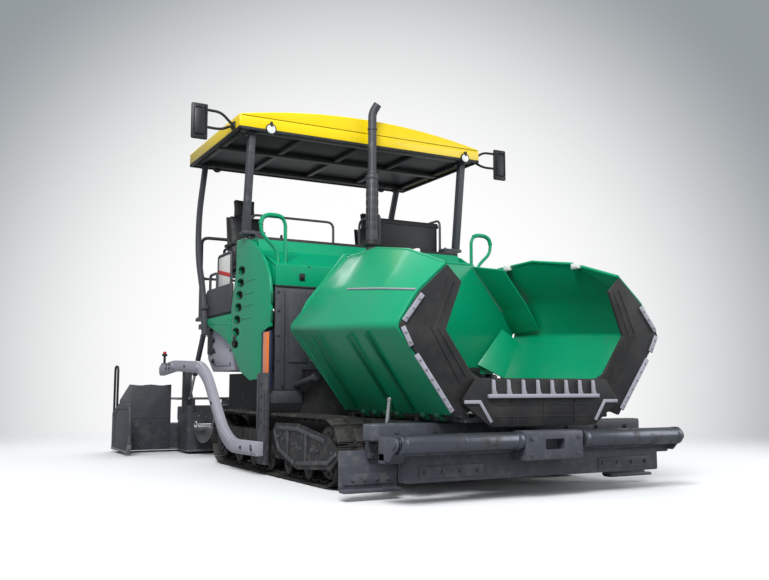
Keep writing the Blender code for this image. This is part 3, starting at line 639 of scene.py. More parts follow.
def wing(name, side):
    """A hopper wing: folded sheet with a rolled rim, its rear gusset, stiffeners and hinge knuckles."""
    wing_body = name + "_wing"
    skin = folded([sided(side, row) for row in WING_SECTIONS], 0.018, 0.035, 0.004, 4)
    gusset = folded([sided(side, row) for row in GUSSET], 0.016, 0)
    front = [row[0] for row in (WING_SECTIONS,)][0]
    rim = pipe(rounded(sided(side, front), 0.05), 0.013)
    top = pipe(sided(side, [row[3] for row in WING_SECTIONS]), 0.014)
    back = pipe(rounded(sided(side, WING_SECTIONS[3]), 0.05), 0.012)
    piece(together(skin, gusset, rim, top, back), name + "_wing_shell", wing_body, "green", [name + "_wing"], 30)
    ribs = [
        slab(band([(side * 0.83, 0.64), (side * 1.262, 1.235)], 0.03), "Y", y, y + 0.012, 0.003)
        for y in (-2.62, -2.30, -1.62)
    ]
    knuckles = [
        bar((side * HINGE_X, y, HINGE_Z), (side * HINGE_X, y + 0.09, HINGE_Z), 0.030, 16, 0.003)
        for y in (-2.95, -2.75, -2.35, -2.15, -1.95, -1.75)
    ]
    straps = [
        block(span(side, HINGE_X, 0.812), (y + 0.01, y + 0.08), (0.598, 0.632), 0.004)
        for y in (-2.95, -2.75, -2.35, -2.15, -1.95, -1.75)
    ]
    # The stiffeners, hinge straps and knuckles take the darker copy of the green, painted shade.
    piece(together(*ribs, *knuckles, *straps), name + "_wing_ribs", wing_body, "dark_green")
    # A light grey line along the wing's upper crease: a painted highlight where the rounded fold catches the light.
    crease = [Vector((side * (x + 0.008), y, z + 0.006)) for x, y, z in (row[2] for row in WING_SECTIONS[:3])]
    piece(pipe(crease, 0.008, 2), name + "_wing_crease_highlight", wing_body, "light_grey")
    lamps, bezels = [], []
    for y, z in ((-1.62, 1.985), (-2.62, 1.885)):
        bezels.append(block(span(side, 0.80, 0.838), (y - 0.05, y + 0.05), (z - 0.03, z + 0.022), 0.008))
        lamps.append(block(span(side, 0.795, 0.806), (y - 0.038, y + 0.038), (z - 0.02, z + 0.014), 0.004))
    piece(together(*bezels), name + "_wing_lamp_cases", wing_body, "white")
    piece(together(*lamps), name + "_wing_lamps", wing_body, "lamp")
    foot = Vector((side * 0.685, -2.4, 0.60))
    piece(pipe([foot, foot + Vector((side * -0.03, 0, 0.13))], 0.012), name + "_prop", "machine", "light_grey")


def flap(name, side):
    """Rubber flap at a wing's front, held by bolted clamp strips along its outer edge."""
    wing_body = name + "_wing"
    rubber_sheet = slab(
        [(side * x, z) for x, z in (
            (0.79, 0.60), (1.25, 1.255), (1.075, 1.51), (0.84, 1.72), (0.72, 1.60), (0.86, 1.24), (0.64, 0.93),
            (0.50, 0.86), (0.50, 0.70))],
        "Y", -3.128, -3.102, 0.004)
    ridges = [
        slab(band([(side * x, z) for x, z in path], 0.012), "Y", -3.134, -3.124, 0.003)
        for path in (((0.775, 1.60), (0.925, 1.25), (0.69, 0.90)), ((0.83, 1.62), (0.99, 1.26), (0.745, 0.86)))
    ]
    piece(together(rubber_sheet, *ridges), name + "_flap", wing_body, "rubber", [name + "_wing_flap"])
    paths = (((1.115, 1.055), (0.815, 0.645)), ((1.225, 1.25), (1.155, 1.115)), ((1.06, 1.49), (1.215, 1.29)))
    strips = [slab(band([(side * x, z) for x, z in path], 0.038), "Y", -3.140, -3.127, 0.003) for path in paths]
    places = []
    for (x0, z0), (x1, z1) in paths:
        count = max(2, round(hypot(x1 - x0, z1 - z0) / 0.085))
        places += [
            (side * (x0 + (x1 - x0) * (k + 0.5) / count), -3.140, z0 + (z1 - z0) * (k + 0.5) / count)
            for k in range(count)]
    piece(together(*strips, bolts((0, -1, 0), places, 0.009)), name + "_flap_clamps", wing_body, "light_grey")


def apron():
    """Front apron with its comb of scrapers, clamp strips, stiffening ribs and lower plate."""
    low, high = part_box("front_apron")
    face = low.y + 0.023
    sheet = slab(mirrored([(0.50, 0.53), (0.74, 0.70), (0.74, 0.74), (0.62, 0.89)]), "Y", face, face + 0.024, 0.004)
    seams = [block((-0.46, 0.46), (face - 0.004, face + 0.004), (z, z + 0.008), 0.002) for z in (0.60, 0.69)]
    ribs = [block((x - 0.006, x + 0.006), (face - 0.005, face + 0.004), (0.55, 0.73), 0.002) for x in (-0.30, 0, 0.30)]
    piece(together(sheet, *seams, *ribs), "apron_sheet", "front_apron", "rubber", ["front_apron"])
    rail = block((-0.53, 0.53), (face - 0.030, face), (0.742, 0.772), 0.006)
    tooth = slab([(-0.012, 0), (0.030, 0), (0.014, 0.035), (0.006, 0.11), (-0.012, 0.115)], "Y", -0.026, -0.002, 0.004)
    teeth = shifted(tooth, *[(-0.48 + 0.137 * k, face, 0.766) for k in range(8)])
    piece(together(rail, teeth), "apron_comb", "front_apron", "light_grey")
    clamps = [
        slab(band([(side * 0.735, 0.715), (side * 0.60, 0.715), (side * 0.50, 0.565)], 0.026), "Y", face - 0.010, face, 0.003)
        for _, side in SIDES]
    piece(together(*clamps), "apron_clamps", "front_apron", "light_grey")


def hopper_back():
    """The bulkhead: smooth wall, side cheeks, folded top rim, joint strips and a bolted lower sill."""
    wall = slab(mirrored([(0.96, 0.955), (1.21, 1.345), (1.225, 1.39), (1.105, 1.615), (0.73, 2.075)]),
                "Y", -1.16, -1.13, 0.006)
    cheeks, joints = [], []
    for _, side in SIDES:
        cheeks.append(folded(
            [sided(side, row) for row in (
                ((1.22, -1.145, 1.375), (1.085, -1.145, 1.60), (0.72, -1.145, 2.05)),
                ((1.205, -1.60, 1.39), (1.065, -1.60, 1.625), (0.785, -1.60, 1.965)))], 0.018, 0.02))
        brace = [(-1.15, 0.9805), (-0.72, 0.9805), (-0.72, 1.10), (-1.15, 1.70)]
        cheeks.append(slab(brace, "X", *span(side, 0.74, 0.77), 0.004))
        joints.append(pipe([(side * 1.09, -1.165, 1.59), (side * 0.722, -1.165, 2.045)], 0.009, 2))
    rim = pipe([(-0.71, -1.145, 2.065), (0.71, -1.145, 2.065)], 0.018)
    piece(together(wall, rim, *cheeks), "hopper_wall", "machine", "green", ["bulkhead"])
    piece(together(*joints), "hopper_wall_seams", "machine", "light_grey")
    sill = block((-0.79, 0.79), (-1.175, -1.155), (0.957, 1.02), 0.004)
    places = [(-0.72 + 0.16 * k, -1.175, 0.99) for k in range(10)]
    piece(together(sill, bolts((0, -1, 0), places, 0.010)), "tunnel_sill", "machine", "dark")


def conveyor():
    """Scraper chains and slats over the deck, between the chain guards."""
    low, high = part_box("conveyor_deck")
    top = high.z
    front, back = low.y + 0.06, high.y - 0.06
    count = int((back - front) / 0.19)
    slats = shifted(
        together(*[block(span(side, 0.065, 0.575), (-0.016, 0.016), (0, 0.030), 0.006) for _, side in SIDES]),
        *[(0, front + 0.19 * k, top + 0.002) for k in range(count)])
    piece(slats, "conveyor_slats", "machine", "steel")
    links = [(0, front + 0.0635 * k, top) for k in range(int((back - front) / 0.0635))]
    link = together(
        block((-0.016, -0.009), (-0.042, 0.042), (0.004, 0.034), 0.003),
        block((0.009, 0.016), (-0.042, 0.042), (0.004, 0.034), 0.003),
        bar((-0.02, 0.03, 0.019), (0.02, 0.03, 0.019), 0.008, 8))
    strand = shifted(link, *links)
    chains = shifted(strand, *[(x, 0, 0) for x in (-0.55, -0.10, 0.10, 0.55)])
    piece(chains, "conveyor_chains", "machine", "dark")
    guards = [block((-0.045, 0.045), (front, back), (top, top + 0.075), 0.02)]
    for _, side in SIDES:
        guards.append(slab([(side * 0.585, top), (side * 0.638, top), (side * 0.745, 0.625), (side * 0.745, 0.632),
                            (side * 0.60, top + 0.045)], "Y", -3.0, -1.18, 0.003))
    piece(together(*guards), "conveyor_guards", "machine", "steel")


# ---------------------------------------------------------------- tractor body

BODY_X, SHEET, DOOR_X = 1.22, 0.03, 1.25
DOOR_OUTLINE = (                               # (y, z), with the curved front shoulder, as in the frame
    (0.36, 2.38), (0.12, 2.375), (-0.12, 2.31), (-0.34, 2.19), (-0.52, 2.04), (-0.63, 1.88),
    (-0.665, 1.74), (-0.665, 1.40), (-0.45, 1.37), (-0.45, 0.91), (-0.11, 0.89),
    (0.17, 0.98), (0.50, 1.25), (0.50, 1.66), (0.36, 2.07),
)
TAIL_OUTLINE = ((0.515, 1.27), (0.83, 1.39), (1.62, 1.61), (0.515, 1.61))
VENTS = [(0.17 + 0.03 * k, 2.04 - 0.127 * k) for k in range(7)]     # (y, z) of a door's vents
VENT = (0.095, 0.042)                                               # half its length and height


def oval(y, z, long, high, lean=0.5, steps=20):
    """A leaning oval outline in Y and Z."""
    points = []
    for k in range(steps):
        turn = 2 * pi * k / steps
        a, b = long * cos(turn), high * sin(turn)
        points.append((y + a + b * lean, z + b))
    return points


def hood():
    """The green cowl: folded sheet, black edge trim, seams, latches, grille slats and grab hoops; the pipe's collar is
    made with the exhaust.
    """
    section = [(-0.64, 1.80), (-0.64, 2.00), (-0.17, 2.20), (-0.11, 2.345), (0.485, 2.345), (0.485, 1.68)]
    cowl = slab(band(section, SHEET), "X", -BODY_X, BODY_X, 0.007, 3)
    ends = [slab([(-0.63, 1.815), (-0.63, 1.99), (-0.17, 2.185), (-0.11, 2.33), (0.475, 2.33), (0.475, 1.70)],
                 "X", *span(side, BODY_X - 0.012, BODY_X - 0.002), 0.003) for _, side in SIDES]
    lips = [slab([(-0.655, 1.985), (-0.655, 2.015), (-0.16, 2.225), (-0.15, 2.19)], "X",
                 *span(side, 0.86, 0.885), 0.004) for _, side in SIDES]
    hoops = []
    for _, side in SIDES:
        path = [(1.10, 2.00), (1.10, 2.42), (1.13, 2.48), (1.18, 2.50), (1.28, 2.50), (1.34, 2.47),
                (1.36, 2.40), (1.34, 2.30), (1.19, 2.16), (1.17, 2.00)]
        hoops.append(pipe(rounded([(side * x, -0.58, z) for x, z in path], 0.05), 0.018, 4))
        hoops.append(pipe(rounded([(side * x, -0.58, z) for x, z in path[2:7]], 0.05), 0.023, 4))
    piece(together(cowl, *ends, *lips, *hoops), "hood_cowl", "machine", "green", ["hood"], 30)
    trims = [
        slab(band([(-0.155, 2.225), (-0.118, 2.358), (-0.02, 2.366)], 0.012), "X", -BODY_X, BODY_X, 0.003),
        block((-BODY_X, BODY_X), (-0.662, -0.650), (1.79, 1.806), 0.003),
        block((-1.05, 1.05), (0.30, 0.48), (2.36, 2.372), 0.004),
    ]
    piece(together(*trims), "hood_trim", "machine", "rubber")
    latches = []
    for x in (-0.95, -0.45, 0.45, 0.95):
        latches.append(block((x - 0.03, x + 0.03), (-0.665, -0.652), (1.86, 1.93), 0.005))
        latches.append(bar((x, -0.662, 1.895), (x, -0.676, 1.895), 0.016, 16, 0.003))
    grille = [block((-0.72, -0.38), (0.05 + 0.032 * k, 0.068 + 0.032 * k), (2.358, 2.372), 0.003) for k in range(7)]
    piece(together(*latches, *grille), "hood_latches", "machine", "black")


def front_wall():
    """Grey wall under the hood with its pressed panels, stop bars and side channels."""
    face = -0.65
    wall = slab(mirrored([(0.93, 0.99), (0.93, 0.80), (BODY_X, 0.80), (BODY_X, 1.7995)]), "Y", face, -0.61, 0.005)
    parts = [wall]
    for _, side in SIDES:
        parts.append(bar((side, -0.64, 0.84), (side, -1.115, 0.92), 0.028, 20, 0.004))
        parts.append(turned((side, -1.118, 0.9205), (0, -1, 0.17), ((-0.03, -0.004, 0.036),), 20))
        parts.append(block(span(side, 0.80, 1.0), (-0.63, -0.58), (0.981, 1.05), 0.004))
        parts.append(block(span(side, 1.13, 1.16), (face - 0.022, face), (0.83, 1.77), 0.006))
        parts.append(slab(mirrored([(0.10, -0.34), (0.115, 0.34)]), "Y", face - 0.012, face, 0.005))
        parts[-1].location = (side * 0.98, 0, 1.40)
        settle(parts[-1])
    places = [(side * x, face, z) for _, side in SIDES for x in (0.84, 1.19) for z in (1.08, 1.32, 1.56, 1.74)]
    piece(together(*parts, bolts((0, -1, 0), places)), "front_wall_panels", "machine", "grey", ["front_wall"])


def service_door(name, side):
    """A side door: pressed sheet with its column of oval vents, shallow ribs, hinges and a latch."""
    door_body = name + "_service_door"
    sheet = slab(DOOR_OUTLINE, "X", *span(side, DOOR_X, DOOR_X + SHEET), 0.007, 3)
    cutters = [slab(oval(y, z, *VENT), "X", *span(side, DOOR_X - 0.05, DOOR_X + 0.08), 0) for y, z in VENTS]
    holed(sheet, *cutters)
    ribs = [
        slab([(y - 0.15, z + 0.016), (y - 0.44, z + 0.006), (y - 0.44, z - 0.010), (y - 0.15, z - 0.016)],
             "X", *span(side, DOOR_X + SHEET - 0.004, DOOR_X + SHEET + 0.004), 0.004)
        for y, z in VENTS[1:5]]
    border = slab(band([(-0.41, 0.93), (-0.41, 1.345), (-0.625, 1.405)], 0.014), "X",
                  *span(side, DOOR_X + SHEET - 0.004, DOOR_X + SHEET + 0.004), 0.003)
    piece(together(sheet, border, *ribs), name + "_door_sheet", door_body, "green", [name + "_service_door"])
    # A black sheet just inside the door behind the vents: painted shade for the dark engine bay seen through them.
    vent_shade_sheet = slab([(0.02, 2.20), (0.30, 2.20), (0.485, 1.60), (0.485, 1.24), (0.22, 1.10), (0.10, 1.6)],
                   "X", *span(side, DOOR_X - 0.012, DOOR_X - 0.004), 0.002)
    rims = []
    for y, z in VENTS:
        ring = [Vector((side * (DOOR_X + SHEET + 0.001), a, b)) for a, b in oval(y, z, *VENT)]
        rims.append(pipe(ring, 0.0045, 2, closed=True))
        for k in (-3, -2, -1, 0, 1, 2, 3):
            rims.append(block(span(side, DOOR_X + 0.004, DOOR_X + 0.010),
                              (y + 0.022 * k - 0.0015, y + 0.022 * k + 0.0015), (z - 0.028, z + 0.028), 0))
    latch = [block(span(side, DOOR_X + SHEET - 0.002, DOOR_X + SHEET + 0.012), (0.33, 0.40), (1.25, 1.36), 0.006),
             turned((side * (DOOR_X + SHEET + 0.01), 0.365, 1.30), (side, 0, 0), ((0, 0.012, 0.016),), 16)]
    piece(together(vent_shade_sheet, *rims, *latch), name + "_door_vents_and_shade", door_body, "black")
    hinges = [bar((side * 1.265, -0.672, z), (side * 1.265, -0.672, z + 0.11), 0.013, 16, 0.003) for z in (1.45, 1.62)]
    # The hinges take the darker copy of the green, painted shade.
    piece(together(*hinges), name + "_door_hinges", door_body, "dark_green")


def tail_panel(name, side):
    panel = slab(TAIL_OUTLINE, "X", *span(side, DOOR_X, DOOR_X + SHEET), 0.006, 3)
    crease = slab(band([(0.55, 1.50), (1.25, 1.545)], 0.012), "X",
                  *span(side, DOOR_X + SHEET - 0.003, DOOR_X + SHEET + 0.003), 0.003)
    lug = block(span(side, 1.2205, 1.26), (0.70, 0.90), (1.45, 1.58), 0.003)
    places = [(side * (DOOR_X + SHEET), y, z) for y, z in ((0.56, 1.32), (0.56, 1.56), (1.40, 1.58))]
    piece(together(panel, crease, lug, bolts((side, 0, 0), places, 0.009)), name + "_tail_sheet", "machine",
          "green", [name + "_tail_panel"])


def rear_body():
    """Tank and cooler housing: rounded case, access covers, steps, filler caps and cylinder clevises."""
    case = slab([(0.58, 1.00), (1.30, 1.00), (1.50, 1.15), (1.50, 1.615), (0.58, 1.615)],
                "X", -BODY_X, BODY_X, 0.012, 3)
    parts = [case]
    for _, side in SIDES:
        parts.append(block(span(side, 1.13, 1.245), (1.48, 1.83), (1.515, 1.58), 0.005))
        parts.append(block(span(side, 1.13, 1.15), (1.70, 1.80), (1.43, 1.57), 0.005))
        parts.append(slab([(0.62, 1.06), (1.22, 1.06), (1.22, 1.24), (0.62, 1.24)], "X",
                          *span(side, BODY_X - 0.004, BODY_X + 0.008), 0.006))
    piece(together(*parts), "rear_case", "machine", "light_grey", ["rear_body"])
    fittings = []
    for _, side in SIDES:
        for y, z in ((1.27, 1.12), (1.27, 1.24), (1.27, 1.36)):
            fittings.append(turned((side * BODY_X, y, z), (side, 0, 0), ((0, 0.012, 0.030), (0.01, 0.030, 0.020)), 20))
        fittings.append(block(span(side, BODY_X - 0.004, BODY_X + 0.022), (1.325, 1.465), (1.20, 1.50), 0.012))
        fittings.append(bolts((side, 0, 0), [(side * (BODY_X + 0.008), y, z)
                                             for y in (0.65, 1.19) for z in (1.08, 1.22)], 0.009))
    for k in range(9):
        fittings.append(block((-0.55, 0.55), (1.498, 1.512), (1.20 + 0.04 * k, 1.218 + 0.04 * k), 0.004))
    piece(together(*fittings), "rear_case_fittings", "machine", "black")
    lamps = [block(span(side, BODY_X, BODY_X + 0.03), (1.30, 1.36), (1.53, 1.58), 0.01) for _, side in SIDES]
    piece(together(*lamps), "side_lamps", "machine", "orange")


# ---------------------------------------------------------------- operator's platform

DECK_Z = 1.66


def platform():
    """Floor with raised tread, kick walls and grey frames round a striped side screen."""
    floor = block((-1.25, 1.25), (0.51, 1.95), (1.62, DECK_Z), 0.006)
    parts = [floor, block((-0.45, 0.45), (1.90, 2.02), (1.30, 1.645), 0.012)]
    for _, side in SIDES:
        parts.append(slab([(0.56, 1.64), (1.60, 1.64), (1.60, 1.80), (1.42, 1.95), (0.56, 1.95)],
                          "X", *span(side, 1.235, 1.27), 0.006))
        for path in (((0.60, 1.93), (0.60, 2.30), (1.05, 2.30), (1.05, 1.93)),
                     ((1.10, 1.93), (1.10, 2.12), (1.36, 2.12), (1.36, 1.93))):
            parts.append(pipe(rounded([(side * 1.252, y, z) for y, z in path], 0.05), 0.016, 4))
    piece(together(*parts), "platform_floor_and_walls", "machine", "grey", ["platform"])
    lozenge = slab([(-0.022, 0), (0, -0.006), (0.022, 0), (0, 0.006)], "Z", -0.001, 0.003, 0)
    marks = []
    for i in range(42):
        for j in range(24):
            x, y = -1.20 + 0.0585 * i, 0.56 + 0.058 * j
            if not (abs(abs(x) - 0.85) < 0.14 and abs(y - 1.05) < 0.14):
                marks.append(Matrix.Translation((x, y, DECK_Z)) @ Matrix.Rotation(pi / 4 * (1 + 2 * ((i + j) % 2)), 4, "Z"))
    piece(repeated(lozenge, marks), "platform_tread", "machine", "steel")
    screens, stripes = [], []
    for _, side in SIDES:
        screens.append(slab([(0.62, 1.95), (1.04, 1.95), (1.04, 2.28), (0.62, 2.28)], "X",
                            *span(side, 1.246, 1.256), 0.003))
        stripes.append(slab([(0.622, 2.02), (1.038, 2.10), (1.038, 2.145), (0.622, 2.065)], "X",
                            *span(side, 1.2555, 1.2585), 0.0008))
    piece(together(*screens), "side_screens", "machine", "white")
    piece(together(*stripes), "side_screen_stripes", "machine", "red")


def console():
    """Instrument panel with its screen, keys, levers, wheel and grab rail, on a boxed pedestal."""
    pedestal = block((0.62, 0.92), (0.52, 0.64), (DECK_Z + 0.0005, 2.42), 0.012)
    desk = slab([(0.20, 2.375), (0.66, 2.375), (0.66, 2.50), (0.42, 2.72), (0.20, 2.72)], "X", 0.38, 1.15, 0.022, 4)
    cowl = slab([(0.19, 2.70), (0.44, 2.70), (0.40, 2.755), (0.22, 2.765)], "X", 0.36, 1.17, 0.015, 3)
    boots = [turned((x, 0.56, 2.60), (0, 0.6, 0.8), ((-0.02, 0.02, 0.035), (0.015, 0.04, 0.025)), 20) for x in (0.50, 1.03)]
    levers = [together(bar((x, 0.575, 2.62), (x, 0.60, 2.70), 0.008), turned((x, 0.60, 2.70), (0, 0.3, 1),
                       ((-0.005, 0.035, 0.018), (0.03, 0.045, 0.012)), 16, 0.006)) for x in (0.50, 1.03)]
    piece(together(pedestal, desk, cowl, *boots, *levers), "console_case", "machine", "black", ["console"])
    slope = Matrix.Translation((0, 0.54, 2.61)) @ Matrix.Rotation(-0.74, 4, "X")
    keys = []
    for row in range(3):
        for col in range(7):
            keys.append(block((0.575 + 0.03 * col, 0.597 + 0.03 * col), (-0.11 + 0.032 * row, -0.087 + 0.032 * row), (0, 0.010), 0.003))
    dials = [turned((x, 0.05, 0), (0, 0, 1), ((0, 0.008, 0.032), (0.004, 0.016, 0.024)), 24) for x in (0.62, 0.71, 0.96)]
    keypad = together(*keys, *dials)
    keypad.data.transform(slope)
    piece(keypad, "console_keys", "machine", "light_grey")
    screen = block((0.80, 0.95), (-0.11, -0.01), (0.001, 0.012), 0.004)
    screen.data.transform(slope)
    piece(screen, "console_screen", "machine", "screen")
    rails = [
        pipe(rounded([(0.36, 0.70, 2.40), (0.36, 0.70, 2.80), (0.36, 0.18, 2.80), (0.36, 0.18, 2.40)], 0.08), 0.014, 4),
        pipe(rounded([(1.17, 0.70, 2.40), (1.17, 0.70, 2.80), (1.17, 0.18, 2.80), (1.17, 0.18, 2.40)], 0.08), 0.014, 4),
        pipe(rounded([(-0.10, 0.45, 2.36), (-0.10, 0.45, 2.70), (-1.10, 0.45, 2.70), (-1.10, 0.45, 2.36)], 0.08), 0.014, 4),
    ]
    piece(together(*rails), "console_rails", "machine", "grey")
    deselect()
    bpy.ops.mesh.primitive_torus_add(location=(0.76, 0.66, 2.66), rotation=(0.9, 0, 0), major_radius=0.155,
                                     minor_radius=0.013, major_segments=40, minor_segments=10)
    rim = settle(active())
    hub = turned((0.76, 0.66, 2.66), (0, 0.78, 0.62), ((-0.10, 0.0, 0.022), (-0.02, 0.012, 0.045)), 24, 0.005)
    turn = Matrix.Translation((0.76, 0.66, 2.66)) @ Matrix.Rotation(0.9, 4, "X")
    spokes = []
    for k in range(3):
        end = turn @ Vector((0.15 * cos(pi / 2 + k * 2 * pi / 3), 0.15 * sin(pi / 2 + k * 2 * pi / 3), 0))
        spokes.append(bar((0.76, 0.66, 2.66), end, 0.010, 10))
    piece(together(rim, hub, *spokes), "steering_wheel", "machine", "black")


def padded_block(x, y, z, crown, pinch=0.012, cuts=6):
    """A pad: crowned faces, sides drawn in between the corners, soft edges."""
    deselect()
    middle = Vector([(low + high) / 2 for low, high in (x, y, z)])
    half = Vector([(high - low) / 2 for low, high in (x, y, z)])
    bpy.ops.mesh.primitive_cube_add(size=2)
    obj = active()
    editing(obj, "EDGE")
    bpy.ops.mesh.subdivide(number_cuts=cuts)
    done()
    thin = min(range(3), key=lambda axis: half[axis])
    wide = [axis for axis in range(3) if axis != thin]
    for vertex in obj.data.vertices:
        u, v, w = vertex.co[wide[0]], vertex.co[wide[1]], vertex.co[thin]
        swell = (1 - u ** 4) * (1 - v ** 4)
        place = Vector((0, 0, 0))
        place[wide[0]] = u * (half[wide[0]] - pinch * (1 - v * v) * (1 - 0.4 * w * w))
        place[wide[1]] = v * (half[wide[1]] - pinch * (1 - u * u) * (1 - 0.4 * w * w))
        place[thin] = w * (half[thin] - crown * (1 - swell))
        vertex.co = middle + place
    modified(obj, "SUBSURF", levels=2, render_levels=2)
    return obj


def stuffed(obj, cap=0.008):
    """The pad blown up by its filling in a short cloth run, with no point moved further than cap."""
    chosen(obj)
    start = [vertex.co.copy() for vertex in obj.data.vertices]
    filling = obj.modifiers.new("filling", "CLOTH")
    filling.settings.use_pressure = True
    filling.settings.uniform_pressure_force = 4
    filling.settings.effector_weights.gravity = 0
    filling.settings.quality = 4
    scene = bpy.context.scene
    for frame_number in range(1, 13):
        scene.frame_set(frame_number)
    graph = bpy.context.evaluated_depsgraph_get()
    swollen = [vertex.co.copy() for vertex in obj.evaluated_get(graph).data.vertices]
    obj.modifiers.remove(filling)
    scene.frame_set(1)
    for vertex, before, after in zip(obj.data.vertices, start, swollen):
        move = after - before
        vertex.co = before + move * (min(cap, move.length) / move.length if move.length > 1e-9 else 0)
    return obj


def seat(name, side):
    """Operator's seat: stand, sprung base, shell, stitched vinyl pads, arm rests and a control pod."""
    x, y = side * 0.85, 1.05
    seat_body = name + "_seat"
    stand = turned((x, y, DECK_Z + 0.006), (0, 0, 1),
                   ((0, 0.014, 0.105), (0.01, 0.05, 0.07), (0.04, 0.30, 0.05), (0.28, 0.32, 0.08)), 28)
    bellows = turned((x, y, 1.98), (0, 0, 1), [(0.026 * k, 0.026 * k + 0.02, 0.098 if k % 2 else 0.085) for k in range(5)], 28, 0.006)
    tray = block((x - 0.22, x + 0.22), (0.84, 1.27), (2.105, 2.145), 0.012)
    shell = slab(band([(1.20, 2.14), (1.285, 2.20), (1.395, 2.84)], 0.025), "X", x - 0.215, x + 0.215, 0.01, 3)
    hinges = [turned((x + k * 0.235, 1.26, 2.22), (k, 0, 0), ((-0.02, 0.02, 0.045), (0.015, 0.03, 0.025)), 20) for k in (-1, 1)]
    posts = [bar((x + k * 0.06, 1.385, 2.78), (x + k * 0.06, 1.385, 2.90), 0.008, 12) for k in (-1, 1)]
    arms = [pipe(rounded([(x + k * 0.27, 1.28, 2.28), (x + k * 0.27, 1.28, 2.42), (x + k * 0.27, 1.10, 2.42)], 0.05), 0.016, 4)
            for k in (-1, 1)]
    slides = [block((x + k * 0.15 - 0.015, x + k * 0.15 + 0.015), (0.82, 1.26), (2.09, 2.11), 0.003) for k in (-1, 1)]
    piece(together(stand, bellows, tray, shell, *hinges, *posts, *arms, *slides), name + "_seat_frame", seat_body,
          "black", [name + "_seat"])
    cushion = stuffed(padded_block((x - 0.24, x + 0.24), (0.815, 1.27), (2.15, 2.285), 0.02))
    wings = [padded_block((x + k * 0.215 - 0.028, x + k * 0.215 + 0.028), (0.84, 1.24), (2.22, 2.315), 0.012, 0.006, 4)
             for k in (-1, 1)]
    back = stuffed(padded_block((-0.22, 0.22), (-0.055, 0.055), (-0.30, 0.30), 0.02))
    back.data.transform(Matrix.Translation((x, 1.262, 2.545)) @ Matrix.Rotation(radians(-10.3), 4, "X"))
    head = padded_block((-0.125, 0.125), (-0.045, 0.045), (-0.105, 0.105), 0.016)
    head.data.transform(Matrix.Translation((x, 1.375, 2.95)) @ Matrix.Rotation(radians(-6), 4, "X"))
    rests = [padded_block((x + k * 0.27 - 0.03, x + k * 0.27 + 0.03), (0.90, 1.20), (2.425, 2.475), 0.010, 0.004, 4)
             for k in (-1, 1)]
    for pad, part, fill in ((cushion, "cushion", 0.8), (back, "back", 0.8), (head, "headrest", 0.9)):
        piece(pad, f"{name}_seat_{part}", seat_body, "vinyl", smooth=60)
    piece(together(*wings, *rests), name + "_seat_side_pads", seat_body, "vinyl", smooth=60)
    piping = []
    for k in (-0.085, 0.085):
        piping.append(pipe([(x + k, 0.84 + 0.04 * j, 2.288 + 0.006 * (1 - ((j - 5) / 5) ** 2)) for j in range(11)], 0.0028, 2))
    piping += [pipe([(x - 0.2 + 0.04 * j, yy, 2.288 + 0.006 * (1 - ((j - 5) / 5) ** 2)) for j in range(11)], 0.0028, 2)
               for yy in (0.94, 1.12)]
    turn = Matrix.Translation((x, 1.262, 2.545)) @ Matrix.Rotation(radians(-10.3), 4, "X")
    for z in (-0.16, -0.02, 0.12):
        piping.append(pipe([turn @ Vector((-0.18 + 0.036 * j, -0.0565 - 0.004 * (1 - ((j - 5) / 5) ** 2), z)) for j in range(11)], 0.0028, 2))
    piece(together(*piping), name + "_seat_piping", seat_body, "grey")
    pod = [block((x + side * -0.27 - 0.035, x + side * -0.27 + 0.035), (0.80, 0.93), (2.44, 2.49), 0.012),
           bar((x - side * 0.27, 0.85, 2.485), (x - side * 0.27, 0.84, 2.545), 0.007, 12),
           turned((x - side * 0.27, 0.84, 2.54), (0, -0.1, 1), ((0, 0.035, 0.016), (0.03, 0.04, 0.010)), 16, 0.005)]
    piece(together(*pod), name + "_seat_pod", seat_body, "black")


def rear_rail(name, side):
    """Hand rail loop at the back of the floor, with feet, a knee rail and its collars."""
    y, inner, outer = 1.92, side * 0.62, side * 1.20
    loop = pipe(rounded([(inner, y, DECK_Z + 0.0005), (inner, y, 2.66), (outer, y, 2.66), (outer, y, DECK_Z + 0.0005)], 0.09, 6), 0.021, 4)
    knee = bar((inner, y, 2.15), (outer, y, 2.15), 0.016, 16)
    feet = [block((x - 0.035, x + 0.035), (y - 0.03, y + 0.03), (DECK_Z + 0.0005, DECK_Z + 0.012), 0.003) for x in (inner, outer)]
    collars = [turned((x, y, 2.15), (1, 0, 0), ((-0.03, 0.03, 0.024),), 16) for x in (inner + side * 0.02, outer - side * 0.02)]
    piece(together(loop, knee, *feet, *collars), name + "_rear_rail_loop", "machine", "grey", [name + "_rear_rail"])


# ---------------------------------------------------------------- roof

ROOF_X, ROOF_FRONT, ROOF_REAR = 1.47, -0.22, 1.585


